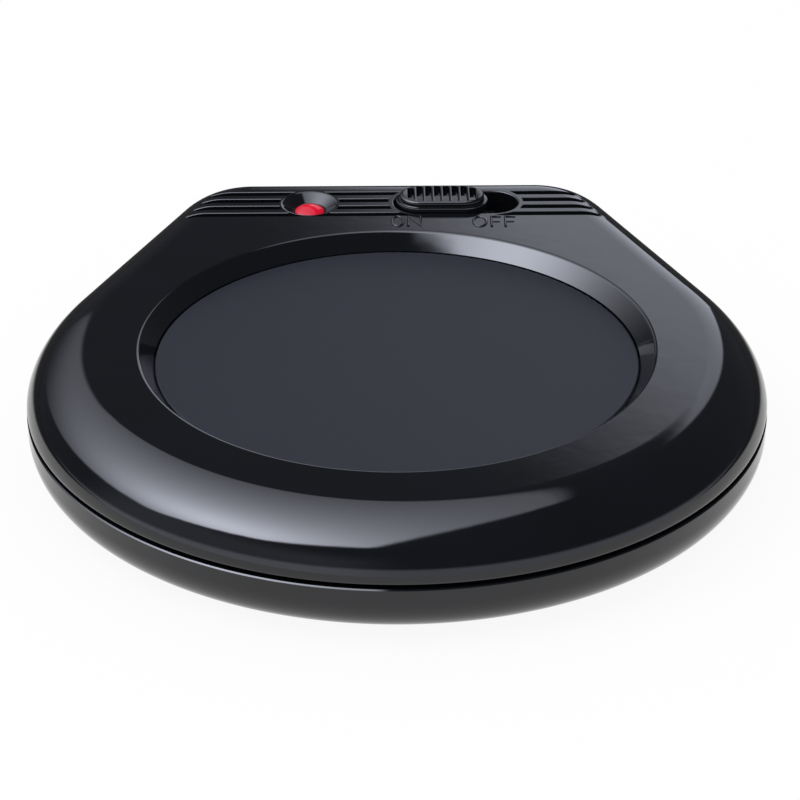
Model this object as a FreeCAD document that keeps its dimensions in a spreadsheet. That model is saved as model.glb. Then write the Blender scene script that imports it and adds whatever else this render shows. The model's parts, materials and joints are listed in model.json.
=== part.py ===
import FreeCAD, Part
import math
import os
import re
import Sketcher

# Electric mug warmer: a low housing of two black shells round a warming plate,
# with a slide switch and a pilot lamp in the bar behind the plate.
# Millimetres, +X right, +Y back, +Z up, origin under the middle of the outline on the table.

# Driving dimensions. Lengths are in millimetres.
DIMENSIONS = {
    # Outline of the housing, measured from the centre of the plate
    "body_radius": 60.0,
    "corner_radius": 15.5,
    "corner_x": 25.1,
    "corner_y": 53.0,
    # Levels above the table
    "total_height": 20.0,
    "parting_level": 11.2,
    "base_rim_level": 10.4,
    "base_level": 1.5,
    # Shells
    "cover_wall": 2.0,
    "roll_width": 10.0,
    "roll_height": 8.8,
    "roll_handle": 0.44,
    "base_wall": 3.2,
    "base_floor": 2.0,
    "base_roll": 6.5,
    "tongue_inset": 2.4,
    "tongue_level": 12.3,
    # Well and warming plate
    "lip_radius": 41.7,
    "well_radius": 39.4,
    "well_depth": 2.8,
    "flange_depth": 4.0,
    "flange_width": 4.3,
    "plate_gap": 0.2,
    "plate_sheet": 1.2,
    "plate_skirt": 3.2,
    "plate_rim_radius": 44.0,
    "plate_edge": 0.4,
    "stud_radius": 1.5,
    "stud_length": 5.2,
    "stud_circle": 27.8,
    # Heater stack under the plate
    "stack_radius": 36.5,
    "mica_sheet": 0.4,
    "stud_clearance": 0.3,
    "tab_x": 6.0,
    "tab_y": 20.0,
    "tab_radius": 1.2,
    "tab_length": 4.4,
    "tab_clearance": 0.8,
    "heater_sheet": 0.4,
    "heater_inner_radius": 9.0,
    "heater_strip": 3.2,
    "heater_pitch": 4.9,
    "clamp_sheet": 1.0,
    "nut_width": 5.5,
    "nut_height": 2.4,
    # Ring that holds the plate up against the cover
    "ring_inner_radius": 41.0,
    "ring_outer_radius": 45.0,
    "ring_sheet": 1.2,
    "ear_radius": 3.5,
    "ear_circle": 47.7,
    "ear_boss_radius": 3.2,
    # Heat shield over the base
    "shield_radius": 44.0,
    "shield_sheet": 0.5,
    "shield_level": 6.5,
    "shield_screw_circle": 41.0,
    "shield_post_radius": 2.9,
    "shield_lip": 1.5,
    "pad_radius": 37.0,
    "pad_sheet": 1.6,
    # Thermal fuse
    "fuse_radius": 1.6,
    "fuse_length": 10.0,
    "sleeve_sheet": 0.45,
    "sleeve_radius": 2.1,
    "sleeve_length": 16.0,
    "clip_sheet": 0.5,
    "clip_length": 4.0,
    "clip_tab": 3.0,
    "fuse_x": 0.0,
    "fuse_y": 8.0,
    # Grooves across the bar behind the plate
    "groove_first_y": 48.4,
    "groove_pitch": 2.85,
    "groove_width": 1.4,
    "groove_depth": 0.8,
    "groove_reach": 50.0,
    "dish_collar": 0.5,
    "slot_collar": 1.0,
    # Slide switch
    "slot_x": 10.95,
    "slot_y": 53.2,
    "slot_length": 21.8,
    "slot_width": 9.1,
    "slot_depth": 4.2,
    "slot_floor": 1.4,
    "slot_wall": 1.5,
    "slit_length": 10.8,
    "slit_width": 3.6,
    "knob_length": 16.1,
    "knob_width": 8.4,
    "knob_lift": 0.3,
    "knob_shoulder": 20.6,
    "knob_top": 21.65,
    "knob_step": 0.6,
    "knob_rib_pitch": 1.555,
    "knob_rib_groove": 0.9,
    "knob_edge": 0.5,
    "knob_on_shift": -2.45,
    "stem_length": 5.0,
    "stem_width": 3.0,
    "stem_depth": 4.1,
    "case_length": 20.0,
    "case_width": 9.0,
    "case_height": 6.0,
    "case_wall": 1.0,
    "case_ear_length": 34.2,
    "case_ear_sheet": 1.2,
    "case_screw_x": 14.6,
    "case_boss_radius": 2.5,
    "actuator_length": 8.0,
    "actuator_width": 6.4,
    "actuator_height": 3.2,
    "actuator_rise": 2.2,
    "contact_length": 9.0,
    "contact_width": 3.0,
    "contact_sheet": 0.4,
    "terminal_pitch": 5.0,
    "terminal_width": 3.0,
    "terminal_sheet": 0.5,
    "terminal_drop": 3.9,
    "terminal_pad": 4.0,
    # Pilot lamp
    "lamp_x": -14.8,
    "lamp_y": 53.0,
    "dish_radius": 4.85,
    "dish_floor_radius": 3.0,
    "dish_depth": 1.4,
    "lamp_boss_radius": 5.8,
    "lamp_boss_level": 14.0,
    "lens_radius": 2.6,
    "lens_flange_radius": 3.5,
    "lens_flange": 1.2,
    "lens_seat": 3.0,
    "lens_top": 19.5,
    "lens_crown": 4.2,
    "lens_sheet": 0.6,
    "lens_hollow": 1.6,
    "retainer_height": 1.8,
    "retainer_bore": 2.3,
    "lamp_radius": 1.9,
    "lamp_length": 9.4,
    "board_length": 11.0,
    "board_width": 10.0,
    "board_sheet": 1.0,
    "board_level": 6.5,
    "board_post_x": 4.0,
    "board_post_radius": 1.3,
    "board_peg_radius": 0.7,
    "board_peg_rise": 0.3,
    "resistor_radius": 1.1,
    "resistor_length": 5.0,
    "resistor_y": -3.4,
    # Supply
    "gland_level": 10.8,
    "gland_radius": 3.8,
    "gland_bore": 3.1,
    "gland_flange_radius": 4.2,
    "gland_flange": 2.5,
    "gland_length": 6.5,
    "gland_play": 0.9,
    "rib_hole_radius": 3.8,
    "rib_sheet": 1.4,
    "rib_width": 13.0,
    "rib_level": 15.4,
    "block_x": -2.5,
    "block_y": 53.5,
    "block_length": 12.0,
    "block_width": 8.0,
    "block_height": 4.5,
    "block_hole_radius": 1.3,
    "block_hole_depth": 3.5,
    "block_screw_length": 3.1,
    "block_hole_x": 3.0,
    "lead_radius": 0.8,
    "live_level": 4.6,
    "live_bend_y": 46.6,
    "live_rise_y": 49.0,
    "live_blade_level": 5.6,
    "neutral_level": 6.7,
    "neutral_bend_y": 45.6,
    "neutral_turn_y": 38.0,
    "neutral_heater_level": 11.6,
    "switched_level": 6.6,
    "switched_bend_y": 45.7,
    "switched_turn_y": 30.0,
    "switched_heater_level": 11.2,
    "lead_rise_y": 45.5,
    "lead_side_x": 14.0,
    # Housing screws and feet
    "post_front_x": 24.25,
    "post_front_y": -42.0,
    "post_back_x": 32.0,
    "post_back_y": 50.0,
    "post_radius": 3.2,
    "base_post_radius": 4.4,
    "counterbore_radius": 3.2,
    "counterbore_depth": 4.5,
    "post_hole_radius": 1.7,
    "screw_radius": 1.5,
    "screw_gap": 0.05,
    "screw_head_radius": 2.8,
    "screw_head": 1.8,
    "housing_screw_length": 10.0,
    "ring_screw_length": 4.6,
    "small_screw_radius": 1.1,
    "small_head_radius": 2.1,
    "small_head": 1.3,
    "small_screw_length": 3.4,
    "foot_front_x": 38.0,
    "foot_front_y": -25.0,
    "foot_back_x": 20.0,
    "foot_back_y": 50.0,
    "foot_radius": 5.0,
    "foot_recess": 0.8,
    "foot_taper": 0.5,
    "fit_gap": 0.1,
}

# Levels and places worked out from the dimensions
RING_Y = "(body_radius - corner_y - corner_radius) / 2"
BACK_Y = "corner_y + corner_radius"
PLATE_TOP = "(total_height - well_depth)"
PLATE_UNDER = "(total_height - well_depth - plate_sheet)"
PLATE_FOOT = "(total_height - well_depth - plate_skirt)"
FLANGE_UNDER = "(total_height - flange_depth)"
UPPER_MICA = f"({PLATE_UNDER} - mica_sheet)"
HEATER = f"({UPPER_MICA} - heater_sheet)"
LOWER_MICA = f"({HEATER} - mica_sheet)"
CLAMP = f"({LOWER_MICA} - clamp_sheet)"
SLOT_FLOOR = "(total_height - slot_depth)"
BOSS_UNDER = "(total_height - slot_depth - slot_floor)"
CASE_UNDER = f"({BOSS_UNDER} - case_height)"
LENS_SEAT = "(total_height - lens_seat)"
FLOOR_TOP = "(base_level + base_floor)"
FUSE_LEVEL = f"({CLAMP} - sleeve_radius)"

STUD_ANGLES = (90, 210, 330)
EAR_ANGLES = (30, 150, 270)
SHIELD_ANGLES = (90, 210, 330)
GROOVE_COUNT = 4
KNOB_GROOVES = 8
HEATER_SLOTS = 4
HEX_SIDES = 6
TERMINAL_PLACES = (-1, 0, 1)
LEAD_ARC_SHARE = 0.45
LEAD_VOLUME_TOLERANCE = 0.02
SIDES = (-1, 1)
LEVEL_TOLERANCE = 0.001
RIGHT_ANGLE = 90
HALF_TURN = 180

doc = FreeCAD.newDocument("mug_warmer")
sheet = doc.addObject("Spreadsheet::Sheet", "dims")
for row, (alias, number) in enumerate(DIMENSIONS.items(), start=1):
    sheet.set(f"A{row}", alias)
    sheet.set(f"B{row}", str(number))
    sheet.setAlias(f"B{row}", alias)
doc.recompute()

Vector = FreeCAD.Vector
UP = Vector(0, 0, 1)
SKETCH_START = 1
SKETCH_END = 2
SKETCH_CENTRE = 3
sub_parts = []

# Turns that lay an upright cylinder along an axis
ALONG_X = FreeCAD.Rotation(Vector(0, 1, 0), RIGHT_ANGLE)
TOWARD_BACK = FreeCAD.Rotation(Vector(1, 0, 0), -RIGHT_ANGLE)
TOWARD_FRONT = FreeCAD.Rotation(Vector(1, 0, 0), RIGHT_ANGLE)
UPSIDE_DOWN = FreeCAD.Rotation(Vector(1, 0, 0), HALF_TURN)


# Sizes from the sheet

def linked(text):
    """Write an expression so that every dimension in it points at its cell."""
    def cell(match):
        word = match.group(0)
        return f"dims.{word}" if word in DIMENSIONS else word
    return re.sub(r"[a-z_]+", cell, str(text))


def value(text):
    """Work an expression out to a plain number."""
    return float(sheet.evalExpression(linked(text)))


def bind(item, **sizes):
    """Bind properties of an object to expressions."""
    for name, text in sizes.items():
        item.setExpression(name, linked(text))


def place(item, x="0", y="0", z="0", turn=None):
    """Bind the placement of an object, after an optional turn."""
    if turn is not None:
        item.Placement = FreeCAD.Placement(Vector(), turn)
    for axis, text in zip("xyz", (x, y, z)):
        item.setExpression(f"Placement.Base.{axis}", linked(text))


def polar(circle, angle):
    """Place on a circle, as a pair of expressions."""
    return f"{circle} * cos({angle})", f"{circle} * sin({angle})"


def finish(item, label, x="0", y=RING_Y, z="0"):
    """Name a finished sub-part and set it in the frame of the object."""
    item.Label = label
    place(item, x, y, z)
    sub_parts.append(item)
    return item


# Solids from primitives

def cylinder(name, radius, height, x="0", y="0", z="0", turn=None):
    made = doc.addObject("Part::Cylinder", name)
    bind(made, Radius=radius, Height=height)
    place(made, x, y, z, turn)
    return made


def cone(name, lower, upper, height, x="0", y="0", z="0"):
    made = doc.addObject("Part::Cone", name)
    bind(made, Radius1=lower, Radius2=upper, Height=height)
    place(made, x, y, z)
    return made


def box(name, length, width, height, x="0", y="0", z="0"):
    """A box centred on x and y that stands on z."""
    made = doc.addObject("Part::Box", name)
    bind(made, Length=length, Width=width, Height=height)
    place(made, f"{x} - ({length}) / 2", f"{y} - ({width}) / 2", z)
    return made


def group(name, items):
    made = doc.addObject("Part::Compound", name)
    made.Links = items
    return made


def fuse(name, items):
    made = doc.addObject("Part::MultiFuse", name)
    made.Shapes = items
    return made


def cut(name, base, tools):
    made = doc.addObject("Part::Cut", name)
    made.Base = base
    made.Tool = tools[0] if len(tools) == 1 else fuse(f"{name}_tools", tools)
    return made


def holed_disc(name, radius, height, holes):
    """A flat disc on z = 0 with round holes (x, y, radius)."""
    tools = [cylinder(f"{name}_hole_{index}", hole, height, x, y)
             for index, (x, y, hole) in enumerate(holes)]
    return cut(f"{name}_disc", cylinder(f"{name}_blank", radius, height), tools)


def screw(name, shank, length, head, head_height, x, y):
    """A slotted screw that points up, with the seat of its head on z = 0."""
    blank = fuse(f"{name}_body", [
        cylinder(f"{name}_shank", shank, length, x, y),
        cylinder(f"{name}_head", head, head_height, x, y, f"-{head_height}"),
    ])
    slot = box(f"{name}_slot", f"2 * {head}", f"{head} / 4", f"{head_height} / 2", x, y,
               f"-{head_height}")
    return cut(name, blank, [slot])


# Sketches and features of a body

def new_body(name):
    return doc.addObject("PartDesign::Body", name)


def sketch(body, name, role="XY_Plane", lift="0"):
    made = body.newObject("Sketcher::SketchObject", name)
    planes = [item for item in body.Origin.OriginFeatures if item.Role == role]
    made.AttachmentSupport = [(planes[0], "")]
    made.MapMode = "FlatFace"
    made.setExpression("AttachmentOffset.Base.z", linked(lift))
    return made


def hold(made, kind, text, *where):
    """Add a dimension to a sketch and bind it to an expression."""
    number = made.addConstraint(Sketcher.Constraint(kind, *where, value(text)))
    made.setExpression(f"Constraints[{number}]", linked(text))


def hold_point(made, curve, point, x, y):
    hold(made, "DistanceX", x, -1, 1, curve, point)
    hold(made, "DistanceY", y, -1, 1, curve, point)


def draw_circle(made, x, y, radius):
    centre = Vector(value(x), value(y), 0)
    curve = made.addGeometry(Part.Circle(centre, UP, value(radius)))
    hold_point(made, curve, SKETCH_CENTRE, x, y)
    hold(made, "Radius", radius, curve)


def draw_polygon(made, corners):
    points = [Vector(value(x), value(y), 0) for x, y in corners]
    curves = []
    for index, point in enumerate(points):
        after = points[(index + 1) % len(points)]
        curves.append(made.addGeometry(Part.LineSegment(point, after)))
    for index, (x, y) in enumerate(corners):
        before = curves[index - 1]
        made.addConstraint(
            Sketcher.Constraint("Coincident", before, SKETCH_END, curves[index], SKETCH_START))
        hold_point(made, curves[index], SKETCH_START, x, y)


def draw_rectangle(made, x, y, length, width):
    left, right = f"{x} - {length} / 2", f"{x} + {length} / 2"
    low, high = f"{y} - {width} / 2", f"{y} + {width} / 2"
    draw_polygon(made, [(left, low), (right, low), (right, high), (left, high)])


def draw_tangent_loop(made, arcs):
    """A closed outline of arcs (x, y, radius, from, to) joined by tangent lines, anticlockwise."""
    curves = []
    for x, y, radius, first, last in arcs:
        circle = Part.Circle(Vector(value(x), value(y), 0), UP, value(radius))
        start, end = math.radians(value(first)), math.radians(value(last))
        curves.append(made.addGeometry(Part.ArcOfCircle(circle, start, end)))
    for index, arc in enumerate(arcs):
        after = (index + 1) % len(arcs)
        start = made.getPoint(curves[index], SKETCH_END)
        end = made.getPoint(curves[after], SKETCH_START)
        line = made.addGeometry(Part.LineSegment(start, end))
        made.addConstraint(
            Sketcher.Constraint("Tangent", curves[index], SKETCH_END, line, SKETCH_START))
        made.addConstraint(
            Sketcher.Constraint("Tangent", line, SKETCH_END, curves[after], SKETCH_START))
    for curve, (x, y, radius, first, last) in zip(curves, arcs):
        hold_point(made, curve, SKETCH_CENTRE, x, y)
        hold(made, "Radius", radius, curve)


def draw_stadium(made, x, y, length, width):
    half = f"({length} - {width}) / 2"
    draw_tangent_loop(made, [
        (f"{x} + {half}", y, f"{width} / 2", "-90", "90"),
        (f"{x} - {half}", y, f"{width} / 2", "90", "270"),
    ])


def side_lean():
    """Angle of the outward normal of the straight sides above +X."""
    x, y = value("corner_x"), value("corner_y")
    spread = math.acos(value("body_radius - corner_radius") / math.hypot(x, y))
    return math.degrees(math.atan2(y, x) - spread)


def draw_outline(made, inset):
    """The plan outline of the housing, drawn in by an inset."""
    lean = side_lean()
    draw_tangent_loop(made, [
        ("0", "0", f"body_radius - {inset}", 180 - lean, 360 + lean),
        ("corner_x", "corner_y", f"corner_radius - {inset}", lean, 90),
        ("-corner_x", "corner_y", f"corner_radius - {inset}", 90, 180 - lean),
    ])


def pad(body, profile, length, upward=True):
    made = body.newObject("PartDesign::Pad", f"{profile.Name}_pad")
    made.Profile = profile
    bind(made, Length=length)
    made.Reversed = not upward
    doc.recompute()
    return made


def pocket(body, profile, length, upward=False):
    before = body.Shape.Volume
    made = body.newObject("PartDesign::Pocket", f"{profile.Name}_pocket")
    made.Profile = profile
    bind(made, Length=length)
    made.Reversed = upward
    doc.recompute()
    if body.Shape.Volume >= before:
        raise RuntimeError(f"{made.Name} cuts nothing")
    return made


def revolve(body, profile):
    made = body.newObject("PartDesign::Revolution", f"{profile.Name}_turn")
    made.Profile = profile
    made.ReferenceAxis = (profile, ["V_Axis"])
    made.Angle = 360
    doc.recompute()
    return made


def pipe(body, profile, spine):
    made = body.newObject("PartDesign::AdditivePipe", f"{profile.Name}_pipe")
    made.Profile = profile
    made.Spine = spine
    doc.recompute()
    return made


def round_edges(body, feature, level, radius):
    """Round the edges of a feature that lie flat at a level."""
    def lies_at(edge):
        span = edge.BoundBox
        return max(abs(span.ZMin - level), abs(span.ZMax - level)) < LEVEL_TOLERANCE
    names = [f"Edge{n}" for n, edge in enumerate(feature.Shape.Edges, start=1) if lies_at(edge)]
    made = body.newObject("PartDesign::Fillet", f"{feature.Name}_round")
    made.Base = (feature, names)
    bind(made, Radius=radius)
    doc.recompute()
    return made


def body_solid(body, kind, sizes, x, y, z, turn=None):
    """Add or cut a primitive in a body, and stop if it changes nothing."""
    before = body.Shape.Volume
    made = body.newObject(f"PartDesign::{kind}", f"{body.Name}_{kind}")
    bind(made, **sizes)
    place(made, x, y, z, turn)
    doc.recompute()
    growth = body.Shape.Volume - before
    if growth == 0 or (growth > 0) != kind.startswith("Additive"):
        raise RuntimeError(f"{made.Name} changes the volume by {growth}")
    return made


def add_post(body, radius, height, x, y, z):
    return body_solid(body, "AdditiveCylinder", {"Radius": radius, "Height": height}, x, y, z)


def cut_hole(body, radius, height, x, y, z, turn=None):
    sizes = {"Radius": radius, "Height": height}
    return body_solid(body, "SubtractiveCylinder", sizes, x, y, z, turn)


def box_in_body(body, kind, length, width, height, x, y, z):
    sizes = {"Length": length, "Width": width, "Height": height}
    return body_solid(body, kind, sizes, f"{x} - ({length}) / 2", f"{y} - ({width}) / 2", z)


# Places that several sub-parts share

def housing_post_places():
    places = []
    for side in SIDES:
        places.append((f"{side} * post_front_x", "post_front_y"))
        places.append((f"{side} * post_back_x", "post_back_y"))
    return places


def foot_places():
    return {
        "front_left": ("-foot_front_x", "foot_front_y"),
        "front_right": ("foot_front_x", "foot_front_y"),
        "back_left": ("-foot_back_x", "foot_back_y"),
        "back_right": ("foot_back_x", "foot_back_y"),
    }


# Top cover

def draw_roll_section(made):
    """Section through the wall and rolled edge of the cover at its front."""
    outside, wall = -value("body_radius"), value("cover_wall")
    top, foot = value("total_height"), value("parting_level")
    centre = Vector(outside + value("roll_width"), top - value("roll_height"), 0)
    for inset in (0, wall):
        across = Vector(value("roll_width") - inset, 0, 0)
        rise = Vector(0, value("roll_height") - inset, 0)
        handle = value("roll_handle")
        roll = Part.BezierCurve()
        roll.setPoles([centre - across, centre - across + rise * handle,
                       centre - across * handle + rise, centre + rise])
        made.addGeometry(roll.toBSpline())
    for x, y in ((outside, foot), (centre.x, top)):
        step = Vector(wall, 0, 0) if y == foot else Vector(0, -wall, 0)
        made.addGeometry(Part.LineSegment(Vector(x, y, 0), Vector(x, y, 0) + step))


def collar_reach(centre_y, radius, y):
    """How far the edge of a round collar reaches sideways at a given y."""
    return f"sqrt(({radius}) ^ 2 - ({y} - {centre_y}) ^ 2)"


def draw_grooves(made):
    """Grooves across the bar, each broken by the collars of the lamp and the switch."""
    slot_half = "(slot_length - slot_width) / 2"
    for index in range(GROOVE_COUNT):
        middle = f"(groove_first_y + {index} * groove_pitch)"
        near, far = f"({middle} - groove_width / 2)", f"({middle} + groove_width / 2)"
        lamp = [collar_reach("lamp_y", "dish_radius + dish_collar", y) for y in (near, far)]
        slot = [collar_reach("slot_y", "slot_width / 2 + slot_collar", y) for y in (near, far)]
        stretches = [
            (("-groove_reach", "-groove_reach"), [f"lamp_x - {reach}" for reach in lamp]),
            ([f"lamp_x + {reach}" for reach in lamp],
             [f"slot_x - {slot_half} - {reach}" for reach in slot]),
            ([f"slot_x + {slot_half} + {reach}" for reach in slot],
             ("groove_reach", "groove_reach")),
        ]
        for left, right in stretches:
            draw_polygon(made, [(left[0], near), (right[0], near), (right[1], far), (left[1], far)])


def cover_shell(body):
    spine = sketch(body, "cover_edge_path", lift="parting_level")
    draw_outline(spine, "0")
    section = sketch(body, "cover_edge", role="YZ_Plane")
    draw_roll_section(section)
    pipe(body, section, spine)
    top = sketch(body, "cover_top", lift="total_height - cover_wall")
    draw_outline(top, "roll_width")
    pad(body, top, "cover_wall")


def cover_well(body):
    """The round opening with its sloped edge, which carries the plate from below."""
    opening = sketch(body, "cover_opening", lift="total_height")
    draw_circle(opening, "0", "0", "lip_radius + cover_wall / 2")
    pocket(body, opening, "cover_wall")
    edge = sketch(body, "cover_well_edge", role="XZ_Plane")
    draw_polygon(edge, [
        ("well_radius", FLANGE_UNDER),
        ("well_radius + flange_width", FLANGE_UNDER),
        ("well_radius + flange_width", "total_height"),
        ("lip_radius", "total_height"),
        ("well_radius", PLATE_TOP),
    ])
    revolve(body, edge)


def cover_switch_slot(body):
    boss = sketch(body, "slot_boss", lift=BOSS_UNDER)
    draw_stadium(boss, "slot_x", "slot_y", "(slot_length + 2 * slot_wall)",
                 "(slot_width + 2 * slot_wall)")
    height = "slot_depth + slot_floor - cover_wall / 2"
    pad(body, boss, height)
    for side in SIDES:
        x = f"slot_x + {side} * case_screw_x"
        add_post(body, "case_boss_radius", height, x, "slot_y", BOSS_UNDER)
        cut_hole(body, "small_screw_radius", "small_screw_length", x, "slot_y", BOSS_UNDER)
    slot = sketch(body, "slot", lift="total_height")
    draw_stadium(slot, "slot_x", "slot_y", "slot_length", "slot_width")
    pocket(body, slot, "slot_depth")
    box_in_body(body, "SubtractiveBox", "slit_length", "slit_width", "slot_floor", "slot_x", "slot_y",
                BOSS_UNDER)


def cover_lamp_dish(body):
    add_post(body, "lamp_boss_radius", "total_height - lamp_boss_level - cover_wall / 2",
             "lamp_x", "lamp_y", "lamp_boss_level")
    cut_hole(body, "lens_flange_radius + fit_gap", f"{LENS_SEAT} - lamp_boss_level",
             "lamp_x", "lamp_y", "lamp_boss_level")
    cut_hole(body, "lens_radius + fit_gap", "lens_seat", "lamp_x", "lamp_y", LENS_SEAT)
    sizes = {"Radius1": "dish_floor_radius", "Radius2": "dish_radius", "Height": "dish_depth"}
    body_solid(body, "SubtractiveCone", sizes, "lamp_x", "lamp_y", "total_height - dish_depth")


def cover_posts(body):
    for x, y in housing_post_places():
        add_post(body, "post_radius", "total_height - parting_level - cover_wall / 2", x, y,
                 "parting_level")
        cut_hole(body, "screw_radius", "housing_screw_length / 2 + screw_head", x, y, "parting_level")
    for angle in EAR_ANGLES:
        x, y = polar("ear_circle", angle)
        height = f"total_height - cover_wall / 2 - {PLATE_FOOT}"
        add_post(body, "ear_boss_radius", height, x, y, PLATE_FOOT)
        cut_hole(body, "screw_radius", "ring_screw_length - ring_sheet", x, y, PLATE_FOOT)


def top_cover():
    body = new_body("top_cover")
    cover_shell(body)
    cover_well(body)
    grooves = sketch(body, "grooves", lift="total_height")
    draw_grooves(grooves)
    pocket(body, grooves, "groove_depth")
    cover_switch_slot(body)
    cover_lamp_dish(body)
    cover_posts(body)
    cut_gland_hole(body, "base_wall + rib_sheet")
    finish(body, "top_cover")


def cut_gland_hole(body, depth):
    cut_hole(body, "gland_radius + fit_gap", depth, "0", f"{BACK_Y} + fit_gap", "gland_level",
             TOWARD_FRONT)


# Base cover

def base_cover():
    body = new_body("base_cover")
    base_shell(body)
    base_posts(body)
    base_seats(body)
    finish(body, "base_cover")


def base_shell(body):
    plan = sketch(body, "base_plan", lift="base_level")
    draw_outline(plan, "0")
    solid = pad(body, plan, "base_rim_level - base_level")
    round_edges(body, solid, value("base_level"), "base_roll")
    tongue = sketch(body, "base_tongue", lift="base_rim_level")
    draw_outline(tongue, "tongue_inset")
    pad(body, tongue, "tongue_level - base_rim_level")
    room = sketch(body, "base_room", lift="tongue_level")
    draw_outline(room, "base_wall")
    hollow = pocket(body, room, f"tongue_level - {FLOOR_TOP}")
    round_edges(body, hollow, value(FLOOR_TOP), "base_roll - base_wall")


def base_posts(body):
    """Posts for the four housing screws, the heat shield and the lamp board."""
    for x, y in housing_post_places():
        add_post(body, "base_post_radius", f"parting_level - {FLOOR_TOP}", x, y, FLOOR_TOP)
        cut_hole(body, "counterbore_radius", "counterbore_depth", x, y, "base_level")
        cut_hole(body, "post_hole_radius", "parting_level - base_level", x, y, "base_level")
    for angle in SHIELD_ANGLES:
        x, y = polar("shield_screw_circle", angle)
        add_post(body, "shield_post_radius", f"shield_level - {FLOOR_TOP}", x, y, FLOOR_TOP)
        cut_hole(body, "small_screw_radius", "small_screw_length - shield_sheet", x, y,
                 "shield_level - small_screw_length + shield_sheet")
    for side in SIDES:
        x = f"lamp_x + {side} * board_post_x"
        add_post(body, "board_post_radius", f"board_level - {FLOOR_TOP}", x, "lamp_y", FLOOR_TOP)
        add_post(body, "board_peg_radius", "board_sheet + board_peg_rise", x, "lamp_y", "board_level")


def base_seats(body):
    """Seats for the feet and the rib and hole that hold the cord gland."""
    for x, y in foot_places().values():
        cut_hole(body, "foot_radius + fit_gap", "foot_recess", x, y, "base_level")
    inner_face = f"{BACK_Y} - base_wall - gland_flange - gland_play"
    box_in_body(body, "AdditiveBox", "rib_width", "rib_sheet", f"rib_level - {FLOOR_TOP}",
                "0", f"{inner_face} - rib_sheet / 2", FLOOR_TOP)
    cut_gland_hole(body, "base_wall + gland_play")
    cut_hole(body, "rib_hole_radius", "2 * rib_sheet", "0", f"{inner_face} + fit_gap", "gland_level",
             TOWARD_FRONT)


# Warming plate and what holds it

def warming_plate():
    body = new_body("warming_plate")
    section = sketch(body, "plate_section", role="XZ_Plane")
    outer = "(well_radius - plate_gap)"
    inner = f"({outer} - plate_sheet)"
    draw_polygon(section, [
        ("0", PLATE_UNDER),
        (inner, PLATE_UNDER),
        (inner, PLATE_FOOT),
        ("plate_rim_radius", PLATE_FOOT),
        ("plate_rim_radius", f"{PLATE_FOOT} + plate_sheet"),
        (outer, f"{PLATE_FOOT} + plate_sheet"),
        (outer, PLATE_TOP),
        ("0", PLATE_TOP),
    ])
    plate = revolve(body, section)
    round_edges(body, plate, value(PLATE_TOP), "plate_edge")
    for angle in STUD_ANGLES:
        x, y = polar("stud_circle", angle)
        height = "stud_length + plate_sheet / 2"
        add_post(body, "stud_radius", height, x, y, f"{PLATE_UNDER} - stud_length")
    finish(body, "warming_plate")


def flat_ring(name, outer, inner, height, x="0", y="0", z="0"):
    blank = cylinder(f"{name}_outer", outer, height, x, y, z)
    return cut(f"{name}_ring", blank, [cylinder(f"{name}_inner", inner, height, x, y, z)])


def plate_gasket():
    height = f"{FLANGE_UNDER} - {PLATE_FOOT} - plate_sheet"
    ring = flat_ring("gasket", "well_radius + flange_width - plate_gap", "well_radius + plate_gap", height)
    finish(ring, "plate_gasket", z=f"{PLATE_FOOT} + plate_sheet")


def plate_retaining_ring():
    ring = flat_ring("retainer", "ring_outer_radius", "ring_inner_radius", "ring_sheet")
    ears = []
    holes = []
    for index, angle in enumerate(EAR_ANGLES):
        x, y = polar("ear_circle", angle)
        ears.append(cylinder(f"ear_{index}", "ear_radius", "ring_sheet", x, y))
        holes.append(cylinder(f"ear_hole_{index}", "post_hole_radius", "ring_sheet", x, y))
    holes.append(cylinder("ear_trim", "ring_inner_radius", "ring_sheet"))
    plate = cut("retaining_ring", fuse("retainer_blank", [ring] + ears), holes)
    finish(plate, "plate_retaining_ring", z=f"{PLATE_FOOT} - ring_sheet")


def retainer_screws():
    screws = []
    for index, angle in enumerate(EAR_ANGLES):
        x, y = polar("ear_circle", angle)
        screws.append(screw(f"ring_screw_{index}", "screw_radius - screw_gap", "ring_screw_length",
                            "screw_head_radius", "screw_head", x, y))
    finish(group("ring_screws", screws), "retainer_screws", z=f"{PLATE_FOOT} - ring_sheet")


# Heater stack

def stud_holes():
    return [(*polar("stud_circle", angle), "stud_radius + stud_clearance") for angle in STUD_ANGLES]


def tab_holes():
    return [(f"{side} * tab_x", "tab_y", "tab_radius + tab_clearance") for side in SIDES]


def stack_disc(label, sheet_height, level, holes):
    """A sheet of the heater stack."""
    finish(holed_disc(label, "stack_radius", sheet_height, holes), label, z=level)


def heater_element():
    """Foil tracks in rings, each joined to the next by a bridge on alternate sides."""
    outer = f"heater_inner_radius + {HEATER_SLOTS} * heater_pitch + heater_strip"
    foil = flat_ring("foil", outer, "heater_inner_radius", "heater_sheet")
    slots = []
    for index in range(HEATER_SLOTS):
        near = f"heater_inner_radius + heater_strip + {index} * heater_pitch"
        far = f"heater_inner_radius + {index + 1} * heater_pitch"
        slot = flat_ring(f"foil_slot_{index}", far, near, "heater_sheet")
        side = SIDES[index % 2]
        bridge = box(f"foil_bridge_{index}", "2 * heater_pitch", "heater_strip", "heater_sheet",
                     f"{side} * ({far})")
        slots.append(cut(f"foil_gap_{index}", slot, [bridge]))
    for index, (x, y, radius) in enumerate(stud_holes()):
        slots.append(cylinder(f"foil_hole_{index}", radius, "heater_sheet", x, y))
    finish(cut("foil_tracks", foil, slots), "heater_element", z=HEATER)


def heater_tabs():
    tabs = [cylinder(f"tab_{side}", "tab_radius", "tab_length", f"{side} * tab_x", "tab_y")
            for side in SIDES]
    finish(group("tabs", tabs), "heater_tabs", z=f"{HEATER} - tab_length")


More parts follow.
